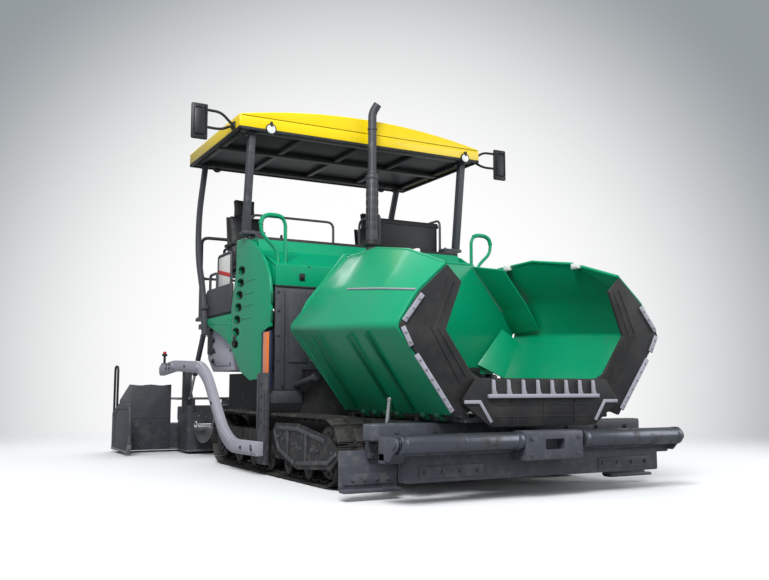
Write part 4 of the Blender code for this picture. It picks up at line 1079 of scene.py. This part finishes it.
def roof():
    """Crowned plastic roof with rounded rims, raised panels, dark lower band, ceiling beams and lamps."""
    crown = [(ROOF_X * (1 - k / 8), 3.60 + 0.148 * (1 - (1 - k / 8) ** 2)) for k in range(8)]
    top = slab(mirrored([(ROOF_X - 0.003, 3.565)] + crown + [(0.001, 3.748)]), "Y", ROOF_FRONT + 0.001, ROOF_REAR - 0.001, 0.018, 4)
    skirts = [block(span(side, ROOF_X - 0.035, ROOF_X - 0.001), (ROOF_FRONT + 0.002, ROOF_REAR - 0.002), (3.468, 3.60), 0.010)
              for _, side in SIDES]
    skirts += [block((-ROOF_X + 0.004, ROOF_X - 0.004), (y, y + 0.033), (3.468, 3.60), 0.010)
               for y in (ROOF_FRONT + 0.001, ROOF_REAR - 0.034)]
    swages = []
    for x in (-0.98, -0.33, 0.33, 0.98):
        lift = 3.60 + 0.148 * (1 - (abs(x) / ROOF_X) ** 2)
        swages.append(block((x - 0.05, x + 0.05), (ROOF_FRONT + 0.12, ROOF_REAR - 0.12), (lift - 0.03, lift + 0.004), 0.02))
    piece(together(top, *skirts, *swages), "roof_shell", "machine", "yellow", ["roof"], 40)
    bands = [block(span(side, ROOF_X - 0.034, ROOF_X), (ROOF_FRONT, ROOF_REAR), (3.44, 3.474), 0.008) for _, side in SIDES]
    bands += [block((-ROOF_X, ROOF_X), (y, y + 0.034), (3.44, 3.474), 0.008) for y in (ROOF_FRONT, ROOF_REAR - 0.034)]
    piece(together(*bands), "roof_band", "machine", "rubber")
    ceiling = block((-1.42, 1.42), (ROOF_FRONT + 0.05, ROOF_REAR - 0.05), (3.50, 3.555), 0.006)
    beams = [block((-1.42, 1.42), (y, y + 0.10), (3.45, 3.51), 0.008) for y in (ROOF_FRONT + 0.05, 0.63, ROOF_REAR - 0.15)]
    beams += [block((x - 0.03, x + 0.03), (ROOF_FRONT + 0.06, ROOF_REAR - 0.06), (3.46, 3.51), 0.008)
              for x in (-1.37, -0.70, 0, 0.70, 1.37)]
    piece(together(ceiling, *beams), "roof_ceiling", "machine", "dark", ["roof_liner"])
    cases, glasses = [], []
    for x, y, way in ((-1.13, ROOF_FRONT, -1), (1.27, ROOF_FRONT, -1), (-1.13, ROOF_REAR, 1), (1.13, ROOF_REAR, 1)):
        z = 3.475
        cases.append(turned((x, y, z), (0, way, 0), ((-0.05, 0.0, 0.05), (-0.01, 0.012, 0.058)), 28, 0.004))
        cases.append(block((x - 0.012, x + 0.012), (y - 0.03, y + 0.03), (z + 0.03, z + 0.075), 0.004))
        glasses.append(turned((x, y, z), (0, way, 0), ((0.0, 0.014, 0.047),), 28, 0.006))
    piece(together(*cases), "roof_lamp_cases", "machine", "black")
    piece(together(*glasses), "roof_lamps", "machine", "lamp")


def post_set(name, side):
    """The two roof posts on one side, with feet, gussets and bolts."""
    front = slab(band([(0.04, 2.40), (-0.104, 3.449)], 0.085), "X", *span(side, 1.26, 1.33), 0.010, 3)
    foot = [block(span(side, 1.10, 1.34), (-0.03, 0.11), (2.395, 2.43), 0.006),
            block(span(side, 1.10, 1.21), (-0.03, 0.11), (2.362, 2.41), 0.004)]
    places = [(side * x, y, 2.43) for x in (1.125, 1.225) for y in (-0.005, 0.085)]
    head = block(span(side, 1.25, 1.34), (-0.16, -0.02), (3.425, 3.4495), 0.006)
    piece(together(front, *foot, head, bolts((0, 0, 1), places)), name + "_front_post_bar", "machine", "grey",
          [name + "_front_post"])
    path = rounded([(0, 1.36, 1.42), (0, 1.44, 1.90), (0, 1.70, 2.40), (0, 1.70, 2.90), (0, 1.475, 3.449)], 0.22, 5)
    rear = slab(band([(p.y, p.z) for p in path], 0.085), "X", *span(side, 1.2805, 1.335), 0.010, 3)
    clip = [block(span(side, 1.272, 1.345), (1.35, 1.47), (z, z + 0.05), 0.006) for z in (1.50, 1.72)]
    head = block(span(side, 1.27, 1.345), (1.40, 1.55), (3.425, 3.4495), 0.006)
    piece(together(rear, *clip, head), name + "_rear_post_bar", "machine", "grey", [name + "_rear_post"])


def mirror(name, side):
    """Mirror head with its rimmed glass on two bent tubes."""
    head = block(span(side, 1.765, 1.935), (-0.118, -0.078), (3.305, 3.675), 0.016)
    ridge = block(span(side, 1.79, 1.91), (-0.126, -0.110), (3.35, 3.63), 0.02)
    arms = []
    for z in (3.44, 3.62):
        arms.append(pipe(rounded([(side * 1.48, -0.05, 3.51), (side * 1.62, -0.08, z), (side * 1.80, -0.095, z)], 0.06), 0.014, 4))
    foot = block(span(side, 1.4705, 1.49), (-0.10, 0.0), (3.475, 3.545), 0.004)
    clamps = [bar((side * 1.815, -0.10, z - 0.022), (side * 1.815, -0.10, z + 0.022), 0.024, 16, 0.004) for z in (3.44, 3.62)]
    piece(together(head, ridge, *arms, foot, *clamps), name + "_mirror_head", "machine", "black", [name + "_mirror"])
    glass = block(span(side, 1.778, 1.922), (-0.079, -0.0705), (3.32, 3.66), 0.004)
    piece(glass, name + "_mirror_glass", "machine", "mirror")


def exhaust():
    """Exhaust: heat shield whose slots are dark marks of painted shade, clamps, thin upper pipe and a slanted outlet
    with a dark plug inside, soot-black and painted shade.
    """
    x, y = 0.0, -0.32
    up = (0, 0, 1)
    shield = turned((x, y, 1.951), up, ((0, 1.15, 0.066), (0.02, 0.05, 0.074), (1.10, 1.145, 0.072)), 32)
    # The slots are not cut: thin dark bars on the shield are painted shade where the open slots would be.
    slot_shade_marks = [block((x - 0.004, x + 0.004), (y - 0.069, y - 0.064), (2.50 + 0.09 * k, 2.56 + 0.09 * k), 0.002) for k in range(6)]
    ring = [Matrix.Translation((x, y, 0)) @ Matrix.Rotation(2 * pi * k / 14, 4, "Z") @ Matrix.Translation((-x, -y, 0)) for k in range(14)]
    slot_shade_marks = repeated(together(*slot_shade_marks), ring)
    upper = pipe(rounded([(x, y, 3.05), (x, y, 3.79), (x + 0.045, y - 0.038, 3.885)], 0.06, 6), 0.046, 10)
    clamps = turned((x, y, 0), up, ((3.10, 3.135, 0.054), (3.60, 3.625, 0.052)), 28)
    piece(together(shield, upper, clamps), "exhaust_pipe", "machine", "grey", ["exhaust"])
    collar = turned((x, y, 2.345), up, ((-0.02, 0.024, 0.098), (0.02, 0.045, 0.084)), 32, 0.006)
    # A dark plug just inside the outlet: the soot-black pipe and painted shade of its inside.
    inside = bar((x + 0.030, y - 0.0255, 3.86), (x + 0.0462, y - 0.039, 3.8865), 0.0405, 24)
    piece(together(slot_shade_marks, collar, inside), "exhaust_collar_and_painted_shade", "machine", "dark")


# ---------------------------------------------------------------- bumper and guides

def front_beam():
    """The bumper beam with rounded ends, the bar's pivot block and the bolted ploughs before the tracks."""
    beam = slab(mirrored([(1.24, -2.85), (1.31, -2.82), (1.34, -2.75), (1.31, -2.68), (1.24, -2.645)]),
                "Z", 0.43, 0.555, 0.014, 3)
    parts = [beam, block((-0.08, 0.08), (-2.985, -2.80), (0.20, 0.50), 0.012)]
    places = [(0.16 * k, -2.852, 0.495) for k in (-7, -5, -3, 3, 5, 7)]
    for _, side in SIDES:
        parts.append(block(span(side, 1.02, 1.50), (-2.68, -2.655), (0.07, 0.36), 0.007))
        parts.append(block(span(side, 1.02, 1.50), (-2.76, -2.67), (0.06, 0.085), 0.006))
        parts.append(block(span(side, 1.05, 1.47), (-2.69, -2.675), (0.11, 0.19), 0.006))
        for x in (1.09, 1.25):
            parts.append(block(span(side, x - 0.03, x + 0.03), (-2.72, -2.66), (0.30, 0.45), 0.008))
        parts.append(slab([(side * 0.98, 0.20), (side * 0.98, 0.43), (side * 0.72, 0.43), (side * 0.72, 0.32)],
                          "Y", -2.83, -2.80, 0.006))
        places += [(side * x, -2.69, 0.15) for x in (1.10, 1.20, 1.30, 1.40)]
        places += [(side * x, -2.72, z) for x in (1.09, 1.25) for z in (0.33, 0.40)]
    piece(together(*parts, bolts((0, -1, 0), places, 0.012)), "bumper_beam", "machine", "blue_grey",
          ["front_beam"])


def push_bar():
    """The pushing bar: boxed beam, roller cheeks with round noses and the slotted middle block."""
    block_middle = holed(block((-0.28, 0.28), (-3.285, -3.11), (0.28, 0.50), 0.022),
                         block((-0.09, 0.09), (-3.40, -3.20), (0.36, 0.44), 0.012))
    parts = [block((-1.20, 1.20), (-3.13, -3.0), (0.15, 0.345), 0.014),
             block((-1.355, 1.355), (-3.10, -3.0), (0.29, 0.37), 0.010), block_middle]
    nose = [(-3.23 - 0.05 * sin(pi * k / 6), 0.43 - 0.05 * cos(pi * k / 6)) for k in range(7)]
    for _, side in SIDES:
        parts.append(slab([(-3.01, 0.31), (-3.16, 0.31)] + nose + [(-3.01, 0.48)], "X", *span(side, 1.335, 1.355), 0.005))
        parts.append(bar((side * 1.355, -3.23, 0.43), (side * 1.364, -3.23, 0.43), 0.030, 24, 0.003))
        parts.append(block(span(side, 0.55, 1.10), (-3.137, -3.12), (0.18, 0.27), 0.008))
        parts += [slab([(-3.11, 0.37), (-3.02, 0.37), (-3.02, 0.345), (-3.13, 0.21)], "X", *span(side, x, x + 0.016), 0.003)
                  for x in (0.42, 0.72, 1.02)]
    face = [(k * 0.225, -3.285, z) for k in (-1, 1) for z in (0.33, 0.45)]
    low = [(k * (0.60 + 0.15 * n), -3.137, 0.225) for k in (-1, 1) for n in range(4)]
    piece(together(*parts, bolts((0, -1, 0), face + low, 0.012)), "push_bar_beam", "push_bar", "blue_grey",
          ["push_bar"])


def push_roller(name, side):
    """A push roller: drum with worn bands and end caps."""
    drum = turned((side * 0.292, -3.23, 0.43), (side, 0, 0), (
        (-0.006, 1.037, 0.022), (0.0, 0.05, 0.070), (0.045, 0.985, 0.0675), (0.50, 0.515, 0.070), (0.98, 1.031, 0.070),
        (-0.003, 1.034, 0.046)), 40, 0.004)
    piece(drum, name + "_push_roller_drum", name + "_push_roller", "roller", [name + "_push_roller"])


def tow_guide(name, side):
    """The guide before a screed arm: flanged column, marker plate with its reflector, and the tow pin."""
    column = [block(span(side, 1.285, 1.333), (-0.70, -0.50), (0.10, 0.96), 0.008)]
    column += [block(span(side, 1.331, 1.343), (y, y + 0.028), (0.42, 0.95), 0.004) for y in (-0.70, -0.528)]
    column.append(block(span(side, 0.9305, 1.30), (-0.66, -0.57), (0.67, 0.79), 0.008))
    column.append(bar((side * 1.33, -0.60, 0.25), (side * 1.432, -0.60, 0.25), 0.030, 32, 0.004))
    column.append(bar((side * 1.43, -0.60, 0.25), (side * 1.438, -0.60, 0.25), 0.018, 6, 0.002))
    places = [(side * 1.333, -0.60, z) for z in (0.50, 0.62, 0.74, 0.86)]
    piece(together(*column, bolts((side, 0, 0), places, 0.012)), name + "_tow_guide", "machine", "grey",
          [name + "_tow_column"])
    piece(block(span(side, 1.26, 1.2945), (-0.695, -0.47), (0.80, 1.36), 0.008), name + "_marker_plate", "machine",
          "navy")
    piece(block(span(side, 1.290, 1.300), (-0.685, -0.535), (0.83, 1.35), 0.004), name + "_reflector", "machine",
          "orange")


# ---------------------------------------------------------------- screed

ARM_PATH = ((-0.72, 0.25), (0.05, 0.24), (0.35, 0.36), (0.95, 0.93), (1.22, 1.05), (2.30, 1.09), (2.95, 1.04))


def arm_outline(width):
    path = rounded([(0, y, z) for y, z in ARM_PATH], 0.16, 5)
    return band([(point.y, point.z) for point in path], width)


def screed_arm(name, side):
    """A cranked tow arm with its raised web plate, pin boss, cross bolts and rear height adjuster."""
    arm = slab(arm_outline(0.135), "X", *span(side, 1.345, 1.42), 0.010, 3)
    web = slab(arm_outline(0.085), "X", *span(side, 1.418, 1.426), 0.004)
    boss = [Vector((side * 1.422, -0.60 + 0.044 * cos(2 * pi * k / 28), 0.25 + 0.044 * sin(2 * pi * k / 28)))
            for k in range(28)]
    bushes = [turned((side * 1.42, y, z), (side, 0, 0), ((0, 0.012, 0.040), (0.01, 0.020, 0.022)), 24)
              for y, z in ((1.22, 1.045), (2.30, 1.088))]
    piece(together(arm, web, pipe(boss, 0.010, 3, closed=True), *bushes), name + "_arm_beam", "screed", "light_grey",
          [name + "_screed_arm"])
    places = [(side * 1.426, y, z) for y, z in ((2.44, 1.11), (2.44, 1.06), (2.58, 1.11), (2.58, 1.06), (-0.30, 0.245),
                                                (0.66, 0.655), (1.75, 1.07))]
    adjuster = [block(span(side, 1.35, 1.41), (2.80, 2.92), (1.10, 1.135), 0.008),
                turned((side * 1.38, 2.86, 1.135), (0, 0, 1), ((0, 0.10, 0.016), (0.09, 0.12, 0.034)), 20, 0.004)]
    piece(together(bolts((side, 0, 0), places, 0.012), *adjuster), name + "_arm_fittings", "screed", "black")
    piece(turned((side * 1.38, 2.86, 1.255), (0, 0, 1), ((0, 0.03, 0.022),), 20, 0.006), name + "_arm_knob", "screed",
          "red")


def grating(x, y, z):
    """An open step grating: a rim, bearing bars and twisted cross rods."""
    (x0, x1), (y0, y1), (z0, z1) = sorted(x), y, z
    rim = [block((x0, x1), (edge, edge + 0.008), (z0, z1), 0.002) for edge in (y0, y1 - 0.008)]
    rim += [block((edge, edge + 0.008), (y0, y1), (z0, z1), 0.002) for edge in (x0, x1 - 0.008)]
    across, along = round((y1 - y0) / 0.033), round((x1 - x0) / 0.05)
    bearing = shifted(block((x0, x1), (-0.002, 0.002), (z0 + 0.003, z1 - 0.002), 0),
                      *[(0, y0 + (y1 - y0) * k / across, 0) for k in range(1, across)])
    rods = shifted(bar((0, y0, z1 - 0.005), (0, y1, z1 - 0.005), 0.003, 6),
                   *[(x0 + (x1 - x0) * k / along, 0, 0) for k in range(1, along)])
    return together(*rim, bearing, rods)


def screed():
    """The fixed screed: cased body with hatches, guide beam, posts, lift lugs and the rear walkway."""
    case = slab([(2.25, 0.05), (2.72, 0.05), (2.72, 0.45), (2.42, 0.50), (2.30, 0.60), (2.25, 0.60)], "X", -1.225, 1.225,
                0.010, 3)
    parts = [case, block((-1.215, 1.215), (2.64, 2.80), (0.40, 0.58), 0.016)]
    parts += [block((x - 0.03, x + 0.03), (2.74, 3.10), (0.53, 0.659), 0.006) for x in (-0.5, 0, 0.5)]
    places = []
    for _, side in SIDES:
        parts.append(block(span(side, 1.13, 1.22), (2.44, 2.58), (0.42, 1.13), 0.010))
        parts.append(block(span(side, 1.14, 1.3445), (2.45, 2.57), (1.03, 1.12), 0.010))
        lug = [(2.30 + 0.06 * cos(pi * k / 8), 0.65 + 0.05 * sin(pi * k / 8)) for k in range(9)]
        parts.append(slab([(2.24, 0.52), (2.40, 0.52)] + lug, "X", *span(side, 1.14, 1.172), 0.004))
        parts.append(slab([(2.25, 0.60), (2.45, 0.60), (2.45, 0.95)], "X", *span(side, 1.15, 1.166), 0.003))
        places += [(side * x, 2.25, z) for x in (0.3, 0.6, 0.9, 1.15) for z in (0.30, 0.54)]
    piece(together(*parts, bolts((0, -1, 0), places, 0.011)), "screed_case", "screed", "grey", ["screed"])
    sole = block((-1.222, 1.222), (2.255, 2.718), (0.0305, 0.052), 0.005)
    tamper = block((-1.215, 1.215), (2.2505, 2.262), (0.045, 0.20), 0.004)
    piece(together(sole, tamper), "screed_sole", "screed", "steel")
    hatches = [block((x - 0.16, x + 0.16), (2.7185, 2.726), (0.12, 0.36), 0.005) for x in (-0.95, -0.55, 0.0, 0.55, 0.95)]
    grips = [pipe(rounded([(x - 0.05, 2.724, 0.30), (x - 0.05, 2.745, 0.30), (x + 0.05, 2.745, 0.30), (x + 0.05, 2.724, 0.30)],
                          0.012), 0.005, 2) for x in (-0.95, -0.55, 0.0, 0.55, 0.95)]
    piece(together(*hatches, *grips), "screed_hatches", "screed", "black")
    piece(grating((-1.20, 1.20), (2.862, 3.298), (0.661, 0.689)), "walkway_grating", "screed", "steel")


def extension(name, side):
    """A sliding screed half: body, sole, rippled guard plate, step grating, end gate with its ski and a handle."""
    moving = name + "_extension"
    low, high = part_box(moving)
    inner, outer = (low.x, high.x) if side > 0 else (-high.x, -low.x)
    ripple = [(1.82 - 0.53 * k / 10, 0.86 - 0.006 * (1 - cos(2 * pi * k / 5))) for k in range(11)]
    guard = slab([(side * x, z) for x, z in [(1.29, 0.04), (1.938, 0.04), (1.938, 0.66)] + ripple], "Y", 2.82, 2.845, 0.006)
    ribs = [block(span(side, x - 0.008, x + 0.008), (2.843, 2.853), (0.50, 0.80), 0.003) for x in (1.36, 1.55, 1.74)]
    lip = slab(band([(side * 1.30, 0.44), (side * 1.93, 0.44)], 0.02), "Y", 2.816, 2.824, 0.003)
    places = [(side * x, 2.82, z) for x in (1.34, 1.55, 1.76, 1.90) for z in (0.12, 0.38)]
    parts = [guard, lip, *ribs, bolts((0, -1, 0), places, 0.011)]
    parts.append(slab([(2.83, 0.05), (3.20, 0.05), (3.20, 0.33), (3.17, 0.36), (2.83, 0.36)], "X",
                      *span(side, inner + 0.001, 1.915), 0.010, 3))
    parts.append(block(span(side, 1.5, 1.6), (2.85, 2.95), (0.35, 0.462), 0.006))
    parts.append(slab([(2.30, 0.06), (3.24, 0.06), (3.24, 0.50), (2.86, 0.62), (2.30, 0.62), (2.24, 0.50), (2.24, 0.14)],
                      "X", *span(side, 1.912, 1.944), 0.007))
    parts += [block(span(side, 1.942, outer - 0.0005), (y, y + 0.03), (0.12, 0.46), 0.004) for y in (2.42, 3.06)]
    parts.append(slab(band([(2.30, 0.565), (2.84, 0.565), (3.20, 0.455)], 0.024), "X", *span(side, 1.942, outer - 0.0005), 0.003))
    piece(together(*parts), name + "_extension_body", moving, "grey", [moving])
    sole = block(span(side, inner + 0.002, 1.91), (2.835, 3.195), (0.0305, 0.052), 0.005)
    ski = slab([(2.31, 0.0305), (3.235, 0.0305), (3.235, 0.062), (2.33, 0.062), (2.262, 0.150), (2.243, 0.140), (2.25, 0.09)],
               "X", *span(side, 1.905, 1.948), 0.004)
    piece(together(sole, ski), name + "_extension_sole", moving, "steel")
    piece(grating(span(side, 1.292, 1.908), (2.866, 3.288), (0.461, 0.489)), name + "_extension_step", moving, "steel")
    x = side * 1.93
    handle = pipe(rounded([(x, 3.02, 0.40), (x, 3.02, 1.09), (x, 3.20, 1.09), (x, 3.20, 0.40)], 0.07, 6), 0.015, 4)
    piece(handle, name + "_extension_handle", moving, "black")
    pendant = [block(span(side, 1.66, 1.80), (2.862, 2.93), (0.50, 0.63), 0.012),
               block(span(side, 1.70, 1.76), (2.87, 2.91), (0.485, 0.51), 0.004)]
    keys = [turned((side * (1.69 + 0.027 * a), 2.93, 0.53 + 0.03 * b), (0, 1, 0), ((0, 0.006, 0.009),), 12, 0.001)
            for a in range(4) for b in range(3)]
    piece(together(*pendant, *keys), name + "_extension_controls", moving, "black")


def auger(name, side):
    """The spreading screw: a flight of four turns with bolted wear edges on a flanged shaft."""
    start, length, turns = 0.10, 1.08, 4
    centre = Vector((side * start, 1.98, 0.34))
    deselect()
    bpy.ops.mesh.primitive_circle_add(vertices=3, radius=1)
    flight = active()
    for vertex, place in zip(flight.data.vertices, ((0, 0.03, 0), (0, 0.189, 0), (0, 0.189, 0))):
        vertex.co = place
    editing(flight, "VERT")
    bpy.ops.mesh.remove_doubles(threshold=1e-4)
    done()
    modified(flight, "SCREW", axis="X", angle=2 * pi, iterations=turns, screw_offset=side * length / turns, steps=40,
             render_steps=40, merge_threshold=1e-5)
    modified(flight, "SOLIDIFY", thickness=0.014, offset=0)
    eased(flight, 0.002, 50)
    flight.location = centre
    settle(flight)
    shaft = turned((side * 0.062, 1.98, 0.34), (side, 0, 0), (
        (0, 1.168, 0.045), (0.004, 0.02, 0.085), (0.53, 0.56, 0.060), (1.135, 1.155, 0.075)), 28)
    ring = [centre + Vector((side * length * k / (turns * 6), 0.15 * cos(side * 2 * pi * k / 6), 0.15 * sin(side * 2 * pi * k / 6)))
            for k in range(1, turns * 6)]
    piece(together(flight, shaft, bolts((side, 0, 0), [p + Vector((side * 0.008, 0, 0)) for p in ring], 0.009)),
          name + "_auger_screw", name + "_auger", "steel", [name + "_auger"])


def cylinder(barrel_name, rod_name, base, eye, barrel, radius):
    """A hydraulic cylinder: barrel with gland, ports and base lug, and a chromed rod with its eye."""
    base, eye = Vector(base), Vector(eye)
    way, length = (eye - base).normalized(), (eye - base).length
    body = turned(base, way, ((-0.018, 0.05, radius * 0.5), (0.025, barrel - 0.03, radius * 0.93),
                              (barrel - 0.034, barrel - 0.001, radius), (0.03, 0.045, radius)), 28)
    port = base + way * (barrel - 0.06)
    body = together(body, bar(port, port + Vector((0, 0, radius * 1.15)), 0.010, 12, 0.002))
    piece(body, barrel_name + "_case", barrel_name, "grey", [barrel_name])
    shaft = turned(base, way, ((barrel - 0.049, length - 0.021, radius * 0.48), (length - 0.045, length - 0.021, radius * 0.62)), 24)
    piece(shaft, rod_name + "_shaft", rod_name, "chrome", [rod_name])


def cylinders(name, side):
    cylinder(name + "_wing_barrel", name + "_wing_rod", (side * 1.02, -2.45, 0.20), (side * 0.9515, -2.45, 0.7607),
             0.31, 0.035)
    cylinder(name + "_lift_barrel", name + "_lift_rod", (side * 1.20, 1.75, 1.47), (side * 1.20, 2.30, 0.66), 0.60, 0.034)


# ---------------------------------------------------------------- stage

FLOOR_RADIUS, FADE_START, SKY = 9.5, 4.2, 0.75
SKY_LOW, SKY_HIGH = (0.10, 0.105, 0.11, 1), (0.95, 0.97, 1.0, 1)
# The floor the camera sees is lighter near the machine and greyer further out: a painted pool of light that matches the
# backdrop's glow.
FLOOR_LIT_NEAR, FLOOR_DIM_FAR = (0.78, 0.79, 0.80), (0.62, 0.64, 0.65)
FLOOR_BOUNCE = (0.26, 0.27, 0.28)               # what the floor throws back at the machine
BACKDROP_EDGE, BACKDROP_MIDDLE = (0.30, 0.33, 0.35, 1), (1.0, 1.0, 1.0, 1)
GLOW_TOWARDS = (0.45, 0.88, 0.02)              # where the backdrop is brightest


def backdrop():
    """A pale floor under the machine, painted lighter near it and greyer further out, that fades out into the backdrop
    all round.
    """
    deselect()
    bpy.ops.mesh.primitive_circle_add(vertices=96, radius=FLOOR_RADIUS, fill_type="NGON")
    obj = active()
    obj.name = "floor"
    f = Finish("floor_paper", Roughness=0.9)
    f.shader.inputs["Specular IOR Level"].default_value = 0.1
    away = f.node("VectorMath", {0: f.place()}, out=1, operation="LENGTH").smooth(FADE_START, FLOOR_RADIUS)
    seen = f.node("LightPath", out="Is Camera Ray")
    f.into(Base_Color=f.blend(seen, FLOOR_BOUNCE, f.blend(away, FLOOR_LIT_NEAR, FLOOR_DIM_FAR)), Alpha=1 - away)
    obj.data.materials.append(f.material)


def studio():
    """An even sky, which mirrors, glass and the camera see as a white glow that greys away from its middle."""
    world = bpy.data.worlds.new("studio")
    world.use_nodes = True
    tree = world.node_tree
    sky, output = tree.nodes["Background"], tree.nodes["World Output"]
    sky.inputs["Strength"].default_value = SKY
    seen, mix, rays = [tree.nodes.new("ShaderNode" + kind) for kind in ("Background", "MixShader", "LightPath")]
    towards, align, ramp = [tree.nodes.new("ShaderNode" + kind) for kind in ("TexCoord", "VectorMath", "ValToRGB")]
    split, dome = [tree.nodes.new("ShaderNode" + kind) for kind in ("SeparateXYZ", "ValToRGB")]
    dome.color_ramp.elements[0].color, dome.color_ramp.elements[1].color = SKY_LOW, SKY_HIGH
    dome.color_ramp.elements[0].position, dome.color_ramp.elements[1].position = 0.0, 0.35
    tree.links.new(towards.outputs["Generated"], split.inputs[0])
    tree.links.new(split.outputs["Z"], dome.inputs["Fac"])
    tree.links.new(dome.outputs["Color"], sky.inputs["Color"])
    align.operation = "DOT_PRODUCT"
    align.inputs[1].default_value = Vector(GLOW_TOWARDS).normalized()
    ramp.color_ramp.interpolation = "EASE"
    ramp.color_ramp.elements[0].color, ramp.color_ramp.elements[1].color = BACKDROP_EDGE, BACKDROP_MIDDLE
    ramp.color_ramp.elements[0].position, ramp.color_ramp.elements[1].position = 0.86, 0.985
    tree.links.new(towards.outputs["Generated"], align.inputs[0])
    tree.links.new(align.outputs["Value"], ramp.inputs["Fac"])
    tree.links.new(ramp.outputs["Color"], seen.inputs["Color"])
    total = rays.outputs["Is Camera Ray"]
    for ray in ("Is Glossy Ray", "Is Transmission Ray"):
        either = tree.nodes.new("ShaderNodeMath")
        either.operation = "MAXIMUM"
        tree.links.new(total, either.inputs[0])
        tree.links.new(rays.outputs[ray], either.inputs[1])
        total = either.outputs[0]
    tree.links.new(total, mix.inputs[0])
    tree.links.new(sky.outputs[0], mix.inputs[1])
    tree.links.new(seen.outputs[0], mix.inputs[2])
    tree.links.new(mix.outputs[0], output.inputs["Surface"])
    bpy.context.scene.world = world


def lights():
    """A large soft key from the front right, a fill and a back light."""
    for name, energy, size, place, aim in (
        ("key", 1150, 4.0, (-5.5, -7.5, 8.5), (0, 0, 1.0)),
        ("fill", 260, 6.0, (8.5, -7.0, 4.5), (0, -1, 1.0)),
        ("back", 450, 7.0, (2.0, 9.0, 8.5), (0, 0, 1.5)),
    ):
        bpy.ops.object.light_add(type="AREA", location=place)
        lamp = active()
        lamp.name = name
        lamp.data.energy, lamp.data.size = energy, size
        lamp.rotation_euler = (Vector(aim) - Vector(place)).to_track_quat("-Z", "Y").to_euler()


def camera():
    bpy.ops.object.camera_add(
        location=CAMERA_PLACE, rotation=(radians(90 + CAMERA_TILT), 0, radians(-CAMERA_TURN)))
    made = active()
    made.name = "camera"
    made.data.lens, made.data.sensor_width = LENS, 36
    bpy.context.scene.camera = made


# ---------------------------------------------------------------- assembly

camera()
finish_frame()
for side_name, side_sign in SIDES:
    track(side_name, side_sign)
    running_gear(side_name, side_sign)
    wing(side_name, side_sign)
    flap(side_name, side_sign)
    service_door(side_name, side_sign)
    tail_panel(side_name, side_sign)
    seat(side_name, side_sign)
    rear_rail(side_name, side_sign)
    post_set(side_name, side_sign)
    mirror(side_name, side_sign)
    push_roller(side_name, side_sign)
    tow_guide(side_name, side_sign)
    screed_arm(side_name, side_sign)
    extension(side_name, side_sign)
    auger(side_name, side_sign)
    cylinders(side_name, side_sign)
apron()
hopper_back()
conveyor()
hood()
front_wall()
rear_body()
platform()
console()
roof()
exhaust()
front_beam()
push_bar()
screed()
backdrop()
studio()
lights()
bpy.context.scene.view_settings.view_transform = "Standard"
